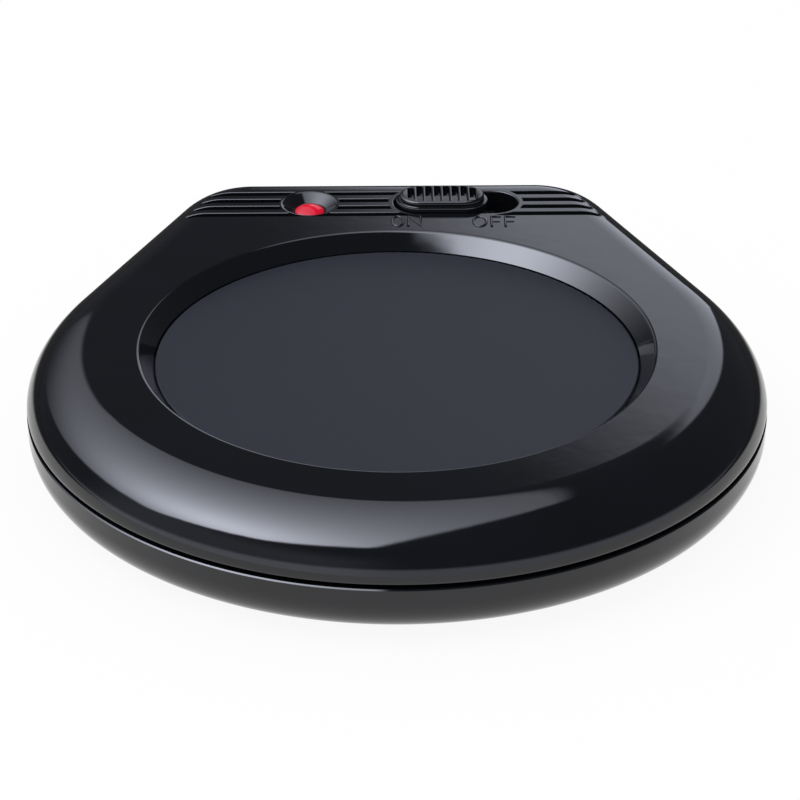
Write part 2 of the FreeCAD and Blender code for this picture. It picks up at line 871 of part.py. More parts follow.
def clamp_nuts():
    nuts = []
    for index, angle in enumerate(STUD_ANGLES):
        x, y = polar("stud_circle", angle)
        hexagon = doc.addObject("Part::Prism", f"nut_blank_{index}")
        hexagon.Polygon = HEX_SIDES
        bind(hexagon, Circumradius="nut_width / 2 / cos(30)", Height="nut_height")
        place(hexagon, x, y)
        bore = cylinder(f"nut_bore_{index}", "stud_radius", "nut_height", x, y)
        nuts.append(cut(f"nut_{index}", hexagon, [bore]))
    finish(group("nuts", nuts), "clamp_nuts", z=f"{CLAMP} - nut_height")


# Thermal fuse under the clamp plate, in parts that lie along X

FUSE_PLACE = {"x": "fuse_x", "y": f"{RING_Y} + fuse_y", "z": FUSE_LEVEL}


def bar_along_x(name, radius, length):
    return cylinder(name, radius, length, f"-({length}) / 2", turn=ALONG_X)


def thermal_fuse():
    bar = bar_along_x("fuse_case", "fuse_radius", "fuse_length")
    finish(group("fuse", [bar]), "thermal_fuse", **FUSE_PLACE)


def fuse_sleeve():
    outer = bar_along_x("sleeve_outer", "sleeve_radius", "sleeve_length")
    inner = bar_along_x("sleeve_inner", "sleeve_radius - sleeve_sheet", "sleeve_length")
    finish(cut("sleeve", outer, [inner]), "fuse_sleeve", **FUSE_PLACE)


def fuse_clip():
    """A strap round the sleeve with two tabs flat under the clamp plate."""
    rounded = bar_along_x("clip_round", "sleeve_radius + clip_sheet", "clip_length")
    legs = box("clip_legs", "clip_length", "2 * (sleeve_radius + clip_sheet)", "sleeve_radius")
    tabs = box("clip_tabs", "clip_length", "2 * (sleeve_radius + clip_sheet + clip_tab)", "clip_sheet",
               z="sleeve_radius - clip_sheet")
    room = bar_along_x("clip_room", "sleeve_radius", "clip_length")
    throat = box("clip_throat", "clip_length", "2 * sleeve_radius", "sleeve_radius + clip_sheet")
    cover = box("clip_trim", "clip_length", "2 * (sleeve_radius + 2 * clip_sheet)", "clip_sheet",
                z="sleeve_radius")
    strap = cut("clip", fuse("clip_blank", [rounded, legs, tabs]), [room, throat, cover])
    finish(strap, "fuse_clip", **FUSE_PLACE)


# Heat shield over the base

def heat_shield():
    holes = [(*polar("shield_screw_circle", angle), "small_screw_radius + fit_gap")
             for angle in SHIELD_ANGLES]
    dish = fuse("shield_dish", [
        holed_disc("shield", "shield_radius", "shield_sheet", holes),
        flat_ring("shield_lip", "shield_radius", "shield_radius - shield_sheet",
                  "shield_lip + shield_sheet"),
    ])
    finish(dish, "heat_shield", z="shield_level")


def insulation_pad():
    finish(cylinder("pad", "pad_radius", "pad_sheet"), "insulation_pad", z="shield_level + shield_sheet")


def shield_screws():
    """Screws that point down, so each is turned over about the screw circle."""
    screws = []
    for index, angle in enumerate(SHIELD_ANGLES):
        x, y = polar("shield_screw_circle", -angle)
        screws.append(screw(f"shield_screw_{index}", "small_screw_radius - screw_gap", "small_screw_length",
                            "small_head_radius", "small_head", x, y))
    turned = group("shield_screw_set", screws)
    turned.Placement = FreeCAD.Placement(Vector(), UPSIDE_DOWN)
    finish(turned, "shield_screws", z="shield_level + shield_sheet")


# Slide switch

def switch_knob():
    """Ribbed slider with a flat shoulder and a stem through the slit of the slot."""
    body = new_body("switch_knob")
    foot = f"({SLOT_FLOOR} + knob_lift)"
    shoulder = sketch(body, "knob_shoulder", lift=foot)
    draw_stadium(shoulder, "0", "0", "knob_length", "knob_width")
    pad(body, shoulder, f"knob_shoulder - {foot}")
    crown = sketch(body, "knob_crown", lift="knob_shoulder")
    draw_stadium(crown, "0", "0", "(knob_length - 2 * knob_step)", "(knob_width - 2 * knob_step)")
    top = pad(body, crown, "knob_top - knob_shoulder")
    round_edges(body, top, value("knob_top"), "knob_edge")
    grooves = sketch(body, "knob_grooves", lift="knob_top")
    for index in range(KNOB_GROOVES):
        x = f"({index} - {KNOB_GROOVES - 1} / 2) * knob_rib_pitch"
        draw_rectangle(grooves, x, "0", "knob_rib_groove", "knob_width")
    pocket(body, grooves, "knob_top - knob_shoulder")
    box_in_body(body, "AdditiveBox", "stem_length", "stem_width", "stem_depth", "0", "0",
                f"{foot} - stem_depth")
    finish(body, "switch_knob", "slot_x + knob_on_shift", f"{RING_Y} + slot_y")


def switch_actuator():
    block = box("actuator_block", "actuator_length", "actuator_width", "actuator_height")
    level = f"{CASE_UNDER} + actuator_rise"
    stem_foot = f"({SLOT_FLOOR} + knob_lift - stem_depth)"
    room = box("actuator_pocket", "stem_length", "stem_width", "actuator_height",
               z=f"{stem_foot} - ({level})")
    finish(cut("actuator", block, [room]), "switch_actuator", "slot_x + knob_on_shift",
           f"{RING_Y} + slot_y", level)


def switch_contact():
    strip = box("contact_strip", "contact_length", "contact_width", "contact_sheet")
    finish(group("contact", [strip]), "switch_contact", "slot_x + knob_on_shift",
           f"{RING_Y} + slot_y", f"{CASE_UNDER} + actuator_rise - contact_sheet")


def switch_case():
    shell = box("case_shell", "case_length", "case_width", "case_height")
    ears = box("case_ears", "case_ear_length", "2 * case_boss_radius", "case_ear_sheet",
               z="case_height - case_ear_sheet")
    room = box("case_room", "case_length - 2 * case_wall", "case_width - 2 * case_wall", "case_height",
               z="case_wall")
    holes = [cylinder(f"case_hole_{side}", "small_screw_radius + fit_gap", "case_height",
                      f"{side} * case_screw_x") for side in SIDES]
    slits = [box(f"case_slit_{place}", "terminal_sheet", "terminal_width", "case_height",
                 f"{place} * terminal_pitch") for place in TERMINAL_PLACES]
    case = cut("case", fuse("case_blank", [shell, ears]), [room] + holes + slits)
    finish(case, "switch_case", "slot_x", f"{RING_Y} + slot_y", CASE_UNDER)


def switch_terminals():
    terminals = []
    for place_number in TERMINAL_PLACES:
        x = f"{place_number} * terminal_pitch"
        head = box(f"terminal_pad_{place_number}", "terminal_pad", "terminal_width", "terminal_sheet", x,
                   z="case_wall")
        blade = box(f"terminal_blade_{place_number}", "terminal_sheet", "terminal_width",
                    "terminal_drop + case_wall", x, z="-terminal_drop")
        terminals.append(fuse(f"terminal_{place_number}", [head, blade]))
    finish(group("terminals", terminals), "switch_terminals", "slot_x", f"{RING_Y} + slot_y", CASE_UNDER)


def switch_screws():
    screws = [screw(f"case_screw_{side}", "small_screw_radius - screw_gap",
                    "small_screw_length + case_ear_sheet / 2", "small_head_radius", "small_head",
                    f"{side} * case_screw_x", "0") for side in SIDES]
    finish(group("case_screws", screws), "switch_screws", "slot_x", f"{RING_Y} + slot_y",
           f"{BOSS_UNDER} - case_ear_sheet")


# Pilot lamp

LAMP_PLACE = {"x": "lamp_x", "y": f"{RING_Y} + lamp_y"}


def lamp_lens():
    """A domed red button with a flange and a hollow for the lamp."""
    seat = f"{LENS_SEAT} - lens_flange"
    barrel = cylinder("lens_barrel", "lens_radius", f"lens_top - ({seat})")
    crown = doc.addObject("Part::Sphere", "lens_crown")
    bind(crown, Radius="lens_crown")
    place(crown, z=f"lens_top - lens_crown - ({seat})")
    dome = doc.addObject("Part::Common", "lens_dome")
    dome.Base = barrel
    dome.Tool = crown
    flange = cylinder("lens_flange", "lens_flange_radius", "lens_flange")
    hollow = cylinder("lens_hollow", "lens_radius - lens_sheet", "lens_hollow")
    finish(cut("lens", fuse("lens_blank", [dome, flange]), [hollow]), "lamp_lens", z=seat, **LAMP_PLACE)


def lens_retainer():
    ring = flat_ring("lens_retainer", "lens_flange_radius + fit_gap", "retainer_bore", "retainer_height")
    finish(ring, "lens_retainer", z="lamp_boss_level", **LAMP_PLACE)


def neon_lamp():
    """A small glass envelope that stands on the lamp board and ends in a round tip."""
    stem = cylinder("lamp_stem", "lamp_radius", "lamp_length - lamp_radius")
    tip = doc.addObject("Part::Sphere", "lamp_tip")
    bind(tip, Radius="lamp_radius")
    place(tip, z="lamp_length - lamp_radius")
    finish(fuse("lamp", [stem, tip]), "neon_lamp", z="board_level + board_sheet", **LAMP_PLACE)


def lamp_board():
    blank = box("board_blank", "board_length", "board_width", "board_sheet")
    holes = [cylinder(f"board_hole_{side}", "board_peg_radius + fit_gap", "board_sheet",
                      f"{side} * board_post_x") for side in SIDES]
    finish(cut("board", blank, holes), "lamp_board", z="board_level", **LAMP_PLACE)


def lamp_resistor():
    bar = bar_along_x("resistor_bar", "resistor_radius", "resistor_length")
    finish(group("resistor", [bar]), "lamp_resistor", "lamp_x", f"{RING_Y} + lamp_y + resistor_y",
           "board_level + board_sheet + resistor_radius")


# Supply side: gland, terminal block and leads

GLAND_INNER = f"({BACK_Y} - base_wall - gland_play - gland_flange)"


def cord_gland():
    flange = cylinder("gland_flange", "gland_flange_radius", "gland_flange", turn=TOWARD_BACK)
    sleeve = cylinder("gland_sleeve", "gland_radius", "gland_length", turn=TOWARD_BACK)
    bore = cylinder("gland_bore", "gland_bore", "gland_length", turn=TOWARD_BACK)
    finish(cut("gland", fuse("gland_blank", [flange, sleeve]), [bore]), "cord_gland", "0",
           f"{RING_Y} + {GLAND_INNER}", "gland_level")


def terminal_block():
    blank = box("block_blank", "block_length", "block_width", "block_height")
    holes = [cylinder(f"block_hole_{side}", "block_hole_radius", "block_hole_depth",
                      f"{side} * block_hole_x", z="block_height - block_hole_depth") for side in SIDES]
    finish(cut("block", blank, holes), "terminal_block", "block_x", f"{RING_Y} + block_y", FLOOR_TOP)


def terminal_screws():
    screws = []
    for side in SIDES:
        x = f"{side} * block_hole_x"
        shank = cylinder(f"block_screw_{side}", "block_hole_radius - fit_gap", "block_screw_length", x)
        slot = box(f"block_screw_slot_{side}", "2 * block_hole_radius", "block_hole_radius / 3",
                   "block_hole_radius / 2", x, z="block_screw_length - block_hole_radius / 2")
        screws.append(cut(f"block_screw_cut_{side}", shank, [slot]))
    finish(group("block_screws", screws), "terminal_screws", "block_x", f"{RING_Y} + block_y",
           f"{FLOOR_TOP} + block_height - block_hole_depth")


def lead(label, corners):
    """An insulated wire: straight runs joined by tangent arcs, through a list of corners."""
    points = [Vector(*[value(text) for text in corner]) for corner in corners]
    edges = []
    start = points[0]
    for before, corner, after in zip(points, points[1:], points[2:]):
        arrive, leave = corner - before, after - corner
        half_turn = arrive.getAngle(leave) / 2
        reach = LEAD_ARC_SHARE * min(arrive.Length, leave.Length)
        arrive.normalize()
        leave.normalize()
        first, last = corner - arrive * reach, corner + leave * reach
        inward = leave - arrive
        inward.normalize()
        middle = corner + inward * reach * (1 / math.cos(half_turn) - 1) / math.tan(half_turn)
        edges.append(Part.LineSegment(start, first).toShape())
        edges.append(Part.Arc(first, middle, last).toShape())
        start = last
    edges.append(Part.LineSegment(start, points[-1]).toShape())
    path = Part.Wire(edges)
    section = Part.Wire(Part.Circle(points[0], points[1] - points[0], value("lead_radius")).toShape())
    made = doc.addObject("Part::Feature", f"{label}_wire")
    made.Shape = path.makePipeShell([section], True, False)
    volume = path.Length * math.pi * value("lead_radius") ** 2
    if abs(made.Shape.Volume / volume - 1) > LEAD_VOLUME_TOLERANCE:
        raise RuntimeError(f"{label} has the wrong volume")
    finish(made, label)


def leads():
    """The wires between the terminal block, the switch, the thermal fuse and the heater."""
    block_face = "block_y - block_width / 2"
    blade_face = "slot_y - terminal_width / 2"
    blade_x = "slot_x - terminal_pitch"
    fuse_end = "fuse_x + fuse_length / 2"
    lead("lead_live", [
        ("block_x - block_hole_x", block_face, "live_level"),
        ("block_x - block_hole_x", "live_bend_y", "live_level"),
        (f"{blade_x} - terminal_sheet", "live_bend_y", "live_level"),
        (blade_x, "live_rise_y", "live_blade_level"),
        (blade_x, blade_face, "live_blade_level"),
    ])
    lead("lead_neutral", [
        ("block_x + block_hole_x", block_face, "neutral_level"),
        ("block_x + block_hole_x", "neutral_bend_y", "neutral_level"),
        ("block_x + block_hole_x", "lead_rise_y", "neutral_heater_level"),
        ("tab_x", "neutral_turn_y", "neutral_heater_level"),
        ("tab_x", "tab_y + tab_radius", "neutral_heater_level"),
    ])
    lead("lead_switched", [
        ("slot_x", blade_face, "switched_level"),
        ("slot_x", "switched_bend_y", "switched_level"),
        ("slot_x", "lead_rise_y", "switched_heater_level"),
        ("lead_side_x", "switched_turn_y", "switched_heater_level"),
        ("lead_side_x", "fuse_y", FUSE_LEVEL),
        (fuse_end, "fuse_y", FUSE_LEVEL),
    ])
    lead("lead_heater", [
        (f"-({fuse_end})", "fuse_y", FUSE_LEVEL),
        ("-lead_side_x", "fuse_y", FUSE_LEVEL),
        ("-lead_side_x", "tab_y", FUSE_LEVEL),
        ("-tab_x - tab_radius", "tab_y", FUSE_LEVEL),
    ])


# Housing screws and feet

def housing_screws():
    screws = []
    for index, (x, y) in enumerate(housing_post_places()):
        screws.append(screw(f"housing_screw_{index}", "screw_radius - screw_gap", "housing_screw_length",
                            "screw_head_radius", "screw_head", x, y))
    finish(group("housing_screw_set", screws), "housing_screws", z="base_level + counterbore_depth")


def feet():
    for label, (x, y) in foot_places().items():
        heel = cone(f"heel_{label}", "foot_radius - foot_taper", "foot_radius", "foot_taper")
        height = "base_level + foot_recess - foot_taper"
        disc = cylinder(f"disc_{label}", "foot_radius", height, z="foot_taper")
        finish(fuse(f"foot_{label}", [heel, disc]), f"rubber_foot_{label}", x, f"{RING_Y} + {y}")


# Build, check and write

def build():
    top_cover()
    base_cover()
    warming_plate()
    plate_gasket()
    plate_retaining_ring()
    retainer_screws()
    stack_disc("upper_mica_sheet", "mica_sheet", UPPER_MICA, stud_holes())
    heater_element()
    stack_disc("lower_mica_sheet", "mica_sheet", LOWER_MICA, stud_holes() + tab_holes())
    stack_disc("heater_clamp_plate", "clamp_sheet", CLAMP, stud_holes() + tab_holes())
    heater_tabs()
    clamp_nuts()
    thermal_fuse()
    fuse_sleeve()
    fuse_clip()
    heat_shield()
    insulation_pad()
    shield_screws()
    switch_knob()
    switch_actuator()
    switch_contact()
    switch_case()
    switch_terminals()
    switch_screws()
    lamp_lens()
    lens_retainer()
    neon_lamp()
    lamp_board()
    lamp_resistor()
    cord_gland()
    terminal_block()
    terminal_screws()
    leads()
    housing_screws()
    feet()
    doc.recompute()


def check():
    for item in doc.Objects:
        if "Invalid" in item.State or "Error" in item.State:
            raise RuntimeError(f"{item.Name} failed: {item.State}")
    for item in sub_parts:
        if item.Shape.isNull() or not item.Shape.isValid():
            raise RuntimeError(f"{item.Label} has a bad shape")


def write():
    os.makedirs("parts", exist_ok=True)
    for item in sub_parts:
        item.Shape.exportStep(os.path.join("parts", f"{item.Label}.step"))
        span = item.Shape.BoundBox
        print(f"{item.Label}: {len(item.Shape.Solids)} solids, {item.Shape.Volume:.0f} mm3, "
              f"z {span.ZMin:.2f} to {span.ZMax:.2f}")


build()
check()
write()
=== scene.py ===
import json
import math

import bmesh
import bpy
from mathutils import Matrix, Vector

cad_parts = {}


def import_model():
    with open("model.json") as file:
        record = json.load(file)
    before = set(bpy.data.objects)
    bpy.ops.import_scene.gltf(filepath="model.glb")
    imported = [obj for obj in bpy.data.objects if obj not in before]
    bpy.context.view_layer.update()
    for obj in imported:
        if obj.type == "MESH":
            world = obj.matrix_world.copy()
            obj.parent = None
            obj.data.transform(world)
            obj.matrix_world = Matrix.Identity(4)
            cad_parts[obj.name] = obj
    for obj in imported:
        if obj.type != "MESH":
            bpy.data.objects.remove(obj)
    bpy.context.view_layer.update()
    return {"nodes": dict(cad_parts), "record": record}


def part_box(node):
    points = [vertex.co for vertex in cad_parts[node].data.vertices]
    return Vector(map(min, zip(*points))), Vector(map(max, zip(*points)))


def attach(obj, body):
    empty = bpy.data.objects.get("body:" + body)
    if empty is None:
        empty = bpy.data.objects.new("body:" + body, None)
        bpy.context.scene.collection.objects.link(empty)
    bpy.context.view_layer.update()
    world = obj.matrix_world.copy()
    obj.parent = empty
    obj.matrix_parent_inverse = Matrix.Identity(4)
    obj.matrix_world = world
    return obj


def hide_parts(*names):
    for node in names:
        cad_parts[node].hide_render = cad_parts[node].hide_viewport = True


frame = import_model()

# Electric mug warmer: smooth meshes for the two covers, the switch knob and the lamp lens
# Shapes are in millimetres from the centre of the round plate, and meshes are in the frame's metres

MM = 0.001
HOUSING = "housing"
SLIDER = "slider"


def box_mm(node):
    low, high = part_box(node)
    return Vector(low) / MM, Vector(high) / MM


# Sizes from the frame

cover_low, cover_high = box_mm("top_cover")
base_low, base_high = box_mm("base_cover")
plate_low, plate_high = box_mm("warming_plate")
knob_low, knob_high = box_mm("switch_knob")
lens_low, lens_high = box_mm("lamp_lens")

BODY_RADIUS = (cover_high.x - cover_low.x) / 2
RING_Y = cover_low.y + BODY_RADIUS
BACK_Y = cover_high.y - RING_Y
TOP = cover_high.z
PARTING = cover_low.z
BASE_LEVEL = base_low.z
PLATE_TOP = plate_high.z
KNOB_TOP = knob_high.z
KNOB_STEM_FOOT = knob_low.z
KNOB_X = (knob_low.x + knob_high.x) / 2
KNOB_LENGTH = knob_high.x - knob_low.x
KNOB_WIDTH = knob_high.y - knob_low.y
SLOT_Y = (knob_low.y + knob_high.y) / 2 - RING_Y
LAMP_X = (lens_low.x + lens_high.x) / 2
LAMP_Y = (lens_low.y + lens_high.y) / 2 - RING_Y

# Sizes of the two covers, in millimetres, and how far a cutter goes past what it cuts

CORNER_RADIUS = 15.5
CORNER_X = 25.1
CORNER_Y = BACK_Y - CORNER_RADIUS
COVER_WALL = 2.0
ROLL_WIDTH = 10.0
ROLL_HEIGHT = 8.8
ROLL_HANDLE = 0.44
BASE_RIM = 10.4
BASE_ROLL = 6.5
BASE_WALL = 3.2
BASE_FLOOR = BASE_LEVEL + 2.0
TONGUE_INSET = 2.4
TONGUE_LEVEL = 12.3
EDGE_BREAK = 0.18
EDGE_BREAK_FOOT = 0.054
CUT_PAST = 1.0

# Sizes of the well round the plate

LIP_RADIUS = 41.7
LIP_EDGE = 0.35
LIP_SHARES = (1.0, 0.45, 0.15)
WELL_RADIUS = 39.4
FLANGE_UNDER = 16.0
FLANGE_RADIUS = 43.7

# Sizes of the four grooves in the bar

GROOVE_FIRST_Y = 48.4
GROOVE_PITCH = 2.85
GROOVE_COUNT = 4
GROOVE_WIDTH = 1.4
GROOVE_DEPTH = 0.8
GROOVE_REACH = 50.0
GROOVE_BREAK = 0.09
GROOVE_OVERCUT = 0.001
DISH_COLLAR = 0.5
SLOT_COLLAR = 1.0

# Sizes of the switch slot

SLOT_X = 10.95
SLOT_LENGTH = 21.8
SLOT_WIDTH = 9.1
SLOT_DEPTH = 4.2
SLOT_FOOT_INSET = 0.2
SLOT_FOOT_RISE = 0.3
SLOT_FLOOR_SHEET = 1.4
SLOT_WALL = 1.5
SLOT_BREAK = 0.32
SLOT_BREAK_STEPS = 5
SLIT_LENGTH = 10.8
SLIT_WIDTH = 3.6

# Sizes of the lamp dish and the lens

DISH_RADIUS = 4.85
DISH_FLOOR_RADIUS = 3.0
DISH_DEPTH = 1.4
DISH_BREAK = 0.22
LAMP_BOSS_RADIUS = 5.8
LAMP_BOSS_LEVEL = 14.0
LENS_BORE = 2.7
LENS_SEAT = 17.0
LENS_COUNTERBORE = 3.6
LENS_BARREL = 2.6
LENS_CROWN = 4.2
LENS_CROWN_REACH = 2.5
LENS_CROWN_STEPS = 12
LENS_AXIS = 0.02
LENS_EDGE = 0.02
LENS_EDGE_DROP = 0.1
LENS_EDGE_FOOT = 0.25
LENS_RIM = 3.5
LENS_HOLLOW = 2.0
LENS_HOLLOW_WALL = 1.5
LENS_HOLLOW_TOP = 1.6

# Sizes of the switch knob

KNOB_FOOT = 16.1
KNOB_SHOULDER = 20.6
KNOB_EDGE = 0.15
KNOB_STEP = 0.6
KNOB_FILLET_IN = 0.05
KNOB_FILLET_UP = 0.06
KNOB_CROWN = 0.55
KNOB_CROWN_STEPS = 8
KNOB_RIB_PITCH = 1.555
KNOB_GROOVES = 8
KNOB_GROOVE_WIDTH = 1.12
KNOB_GROOVE_FLOOR = 20.62
KNOB_GROOVE_END = 0.28
KNOB_GROOVE_BREAK = 0.13
KNOB_GROOVE_CLEAR = 0.01
KNOB_BREAK_OUT = 0.3
KNOB_BREAK_DOWN = 0.35
STEM_LENGTH = 5.0
STEM_WIDTH = 3.0
STEM_OVERLAP = 0.5

# Sizes of the feet, the gland hole and the screw wells

FOOT_RECESS = 0.8
FOOT_GAP = 0.1
FOOT_SEAT_BREAK = 0.2
GLAND_LEVEL = 10.8
GLAND_HOLE_RADIUS = 3.9
GLAND_HOLE_DEPTH = 6.0
SCREW_PLACES = [(-24.25, -42.0), (24.25, -42.0), (-32.0, 50.0), (32.0, 50.0)]
SCREW_BOSS_RADIUS = 4.4
SCREW_BOSS_SHEET = 1.6
SCREW_HOLE_RADIUS = 1.8
COUNTERBORE_RADIUS = 3.2
COUNTERBORE_DEPTH = 4.5
COUNTERBORE_BREAK = 0.3

# Sizes of the raised letters, with each letter's left edge and width after the word's foot line

LETTER_STROKE = 0.5
LETTER_HEIGHT = 3.9
LETTER_RISE = 0.85
LETTER_BEVEL_STEPS = 3
LETTER_ROUND_STEPS = 32
WORDS = {
    "on": (43.45, [("O", -0.35, 2.0), ("N", 2.45, 2.2)]),
    "off": (43.15, [("O", 13.8, 2.25), ("F", 16.95, 1.75), ("F", 19.35, 1.85)]),
}

# Fineness of the meshes

FRONT_STEPS = 240
GROOVE_STEPS = 60
GROOVE_LEVEL_STEPS = 30
CORNER_STEPS = 40
ROLL_STEPS = 24
TURN_STEPS = 256
SMALL_TURN_STEPS = 96
STADIUM_STEPS = 32
KNOB_GROOVE_STEPS = 12
SHARP_ANGLE = 32


# Meshes


def to_frame(point):
    x, y, z = point
    return Vector((x, y + RING_Y, z)) * MM


def loft(name, rings, closed=False):
    """A solid through rings of points, closed on itself or with a flat cap at each end."""
    mesh = bpy.data.meshes.new(name)
    made = bmesh.new()
    loops = [[made.verts.new(to_frame(point)) for point in ring] for ring in rings]
    pairs = list(zip(loops, loops[1:]))
    if closed:
        pairs.append((loops[-1], loops[0]))
    else:
        made.faces.new(loops[0])
        made.faces.new(loops[-1])
    for lower, upper in pairs:
        for index in range(len(lower)):
            after = (index + 1) % len(lower)
            made.faces.new((lower[index], lower[after], upper[after], upper[index]))
    bmesh.ops.recalc_face_normals(made, faces=made.faces)
    made.to_mesh(mesh)
    made.free()
    item = bpy.data.objects.new(name, mesh)
    bpy.context.scene.collection.objects.link(item)
    return item


def arc(x, y, radius, first, last, steps):
    points = []
    for step in range(steps + 1):
        angle = math.radians(first + (last - first) * step / steps)
        points.append((x + radius * math.cos(angle), y + radius * math.sin(angle)))
    return points


def side_lean():
    """Angle of the outward normal of the straight sides above +X, in degrees."""
    reach = math.hypot(CORNER_X, CORNER_Y)
    corner = math.atan2(CORNER_Y, CORNER_X)
    return math.degrees(corner - math.acos((BODY_RADIUS - CORNER_RADIUS) / reach))


def outline(inset):
    """Plan outline of the housing, drawn in by an inset."""
    lean = side_lean()
    corner = CORNER_RADIUS - inset
    points = arc(0, 0, BODY_RADIUS - inset, 180 - lean, 360 + lean, FRONT_STEPS)
    points += arc(CORNER_X, CORNER_Y, corner, lean, 90, CORNER_STEPS)
    points += arc(-CORNER_X, CORNER_Y, corner, 90, 180 - lean, CORNER_STEPS)
    return points


def stadium(x, y, length, width, steps=STADIUM_STEPS):
    half = (length - width) / 2
    right = arc(x + half, y, width / 2, -90, 90, steps)
    return right + arc(x - half, y, width / 2, 90, 270, steps)


def at_level(points, level):
    return [(x, y, level) for x, y in points]


def swept(name, profile):
    """A solid whose wall follows the outline: the profile is a list of insets and levels."""
    return loft(name, [at_level(outline(inset), level) for inset, level in profile])


def turned(name, profile, x=0, y=0, steps=TURN_STEPS, closed=False):
    """A solid of revolution: the profile is a list of radii and levels."""
    last = 360 - 360 / steps
    rings = [at_level(arc(x, y, radius, 0, last, steps - 1), level) for radius, level in profile]
    return loft(name, rings, closed)


def quarter(inset, level, across, rise, steps):
    """Points of a quarter ellipse from its flat end to its upright end."""
    points = []
    for step in range(steps + 1):
        angle = math.pi / 2 * (1 - step / steps)
        points.append((inset + across * (1 - math.cos(angle)), level + rise * math.sin(angle)))
    return points


def roll_shares(t):
    """How far in and how far up the cubic curve of the rolled edge has come."""
    early, late, end = 3 * t * (1 - t) ** 2, 3 * t ** 2 * (1 - t), t ** 3
    return (1 - ROLL_HANDLE) * late + end, ROLL_HANDLE * early + late + end


def rolled(inset, level, across, rise, steps):
    """Points of the cover's rolled edge, from its upright end to its flat end."""
    shares = [roll_shares(step / steps) for step in range(steps + 1)]
    return [(inset + across * inward, level + rise * upward) for inward, upward in shares]


def surface_level(x, y):
    """Level of the cover's outer surface over a point, from its distance to the outline."""
    inset = min(edge_distance(x, y), ROLL_WIDTH)
    low, high = 0.0, 1.0
    for _ in range(GROOVE_LEVEL_STEPS):
        t = (low + high) / 2
        inward, upward = roll_shares(t)
        low, high = (t, high) if ROLL_WIDTH * inward < inset else (low, t)
    return TOP - ROLL_HEIGHT + ROLL_HEIGHT * upward


def edge_distance(x, y):
    """Distance of a point in the bar to the outline: the back, a corner or a straight side."""
    lean = math.radians(side_lean())
    x = abs(x)
    across, along = x - CORNER_X, y - CORNER_Y
    if math.atan2(along, across) > lean and across > 0:
        return CORNER_RADIUS - math.hypot(across, along)
    side = BODY_RADIUS - x * math.cos(lean) - y * math.sin(lean)
    return min(side, BACK_Y - y)


def join(items, name):
    """Make one object of several."""
    made = bmesh.new()
    for item in items:
        made.from_mesh(item.data)
    mesh = bpy.data.meshes.new(name)
    made.to_mesh(mesh)
    made.free()
    for item in items:
        bpy.data.objects.remove(item)
    joined = bpy.data.objects.new(name, mesh)
    bpy.context.scene.collection.objects.link(joined)
    return joined


def combine(target, tool, operation="DIFFERENCE"):
    """Cut a tool from a target, or add it, and leave the result in the target's mesh."""
    step = target.modifiers.new(operation.lower(), "BOOLEAN")
    step.operation = operation
    step.solver = "EXACT"
    step.object = tool
    graph = bpy.context.evaluated_depsgraph_get()
    mesh = bpy.data.meshes.new_from_object(target.evaluated_get(graph))
    target.modifiers.clear()
    target.data = mesh
    bpy.data.objects.remove(tool)


def smooth(item):
    """Shade smooth, with sharp edges over an angle and flat faces kept flat."""
    mesh = item.data
    mesh.shade_smooth()
    mesh.set_sharp_from_angle(angle=math.radians(SHARP_ANGLE))
    weigh = item.modifiers.new("face normals", "WEIGHTED_NORMAL")
    weigh.keep_sharp = True


def gland_hole():
    """Cutter for the hole in the back wall that shows the cord gland."""
    rings = []
    steps = SMALL_TURN_STEPS
    for y in (BACK_Y - GLAND_HOLE_DEPTH, BACK_Y + CUT_PAST):
        circle = arc(0, GLAND_LEVEL, GLAND_HOLE_RADIUS, 0, 360 - 360 / steps, steps - 1)
        rings.append([(x, y, z) for x, z in circle])
    return loft("gland_hole", rings)


# Top cover


def lip_profile(inner, outer, floor, edge, above):
    """Profile of a cutter for a sloped edge that is rounded over where it meets the top."""
    slope = Vector((outer - inner, TOP - floor)).normalized()
    lip = Vector((outer, TOP))
    points = [(inner, floor)]
    for share in LIP_SHARES:
        outward = edge * (1 - share) ** 2 / 2
        points.append(tuple(lip - slope * edge * share + Vector((outward, 0))))
    points += [(outer + edge, TOP), (outer + edge * 3 / 2, TOP + above)]
    return points


def collar_reach(centre_y, radius, y):
    """How far the edge of a round collar reaches sideways at a given y."""
    return math.sqrt(max(radius ** 2 - (y - centre_y) ** 2, 0))


def groove_ends(stretch, y, grow):
    """Both ends of a stretch of groove at a given y, for a cutter that is widened by some amount."""
    lamp = collar_reach(LAMP_Y, DISH_RADIUS + DISH_COLLAR - grow, y)
    slot_end = collar_reach(SLOT_Y, SLOT_WIDTH / 2 + SLOT_COLLAR - grow, y)
    slot = (SLOT_LENGTH - SLOT_WIDTH) / 2 + slot_end
    return {
        "left": (-GROOVE_REACH, LAMP_X - lamp),
        "middle": (LAMP_X + lamp, SLOT_X - slot),
        "right": (SLOT_X + slot, GROOVE_REACH),
    }[stretch]


def groove_corners(stretch, middle, side, share):
    """One side of a groove cutter's section: its flared edge follows the surface of the cover."""
    edge = middle + side * GROOVE_WIDTH / 2
    left, right = groove_ends(stretch, edge, 0)
    flared_left, flared_right = groove_ends(stretch, edge, GROOVE_BREAK)
    x = left + (right - left) * share
    flared_x = flared_left + (flared_right - flared_left) * share
    flared_y = edge + side * GROOVE_BREAK
    floor = TOP - GROOVE_DEPTH
    level = max(surface_level(x, edge) - GROOVE_BREAK, floor)
    return [(x, edge, floor - GROOVE_OVERCUT), (x, edge, level),
            (flared_x, flared_y, level + GROOVE_BREAK), (flared_x, flared_y, TOP + CUT_PAST)]


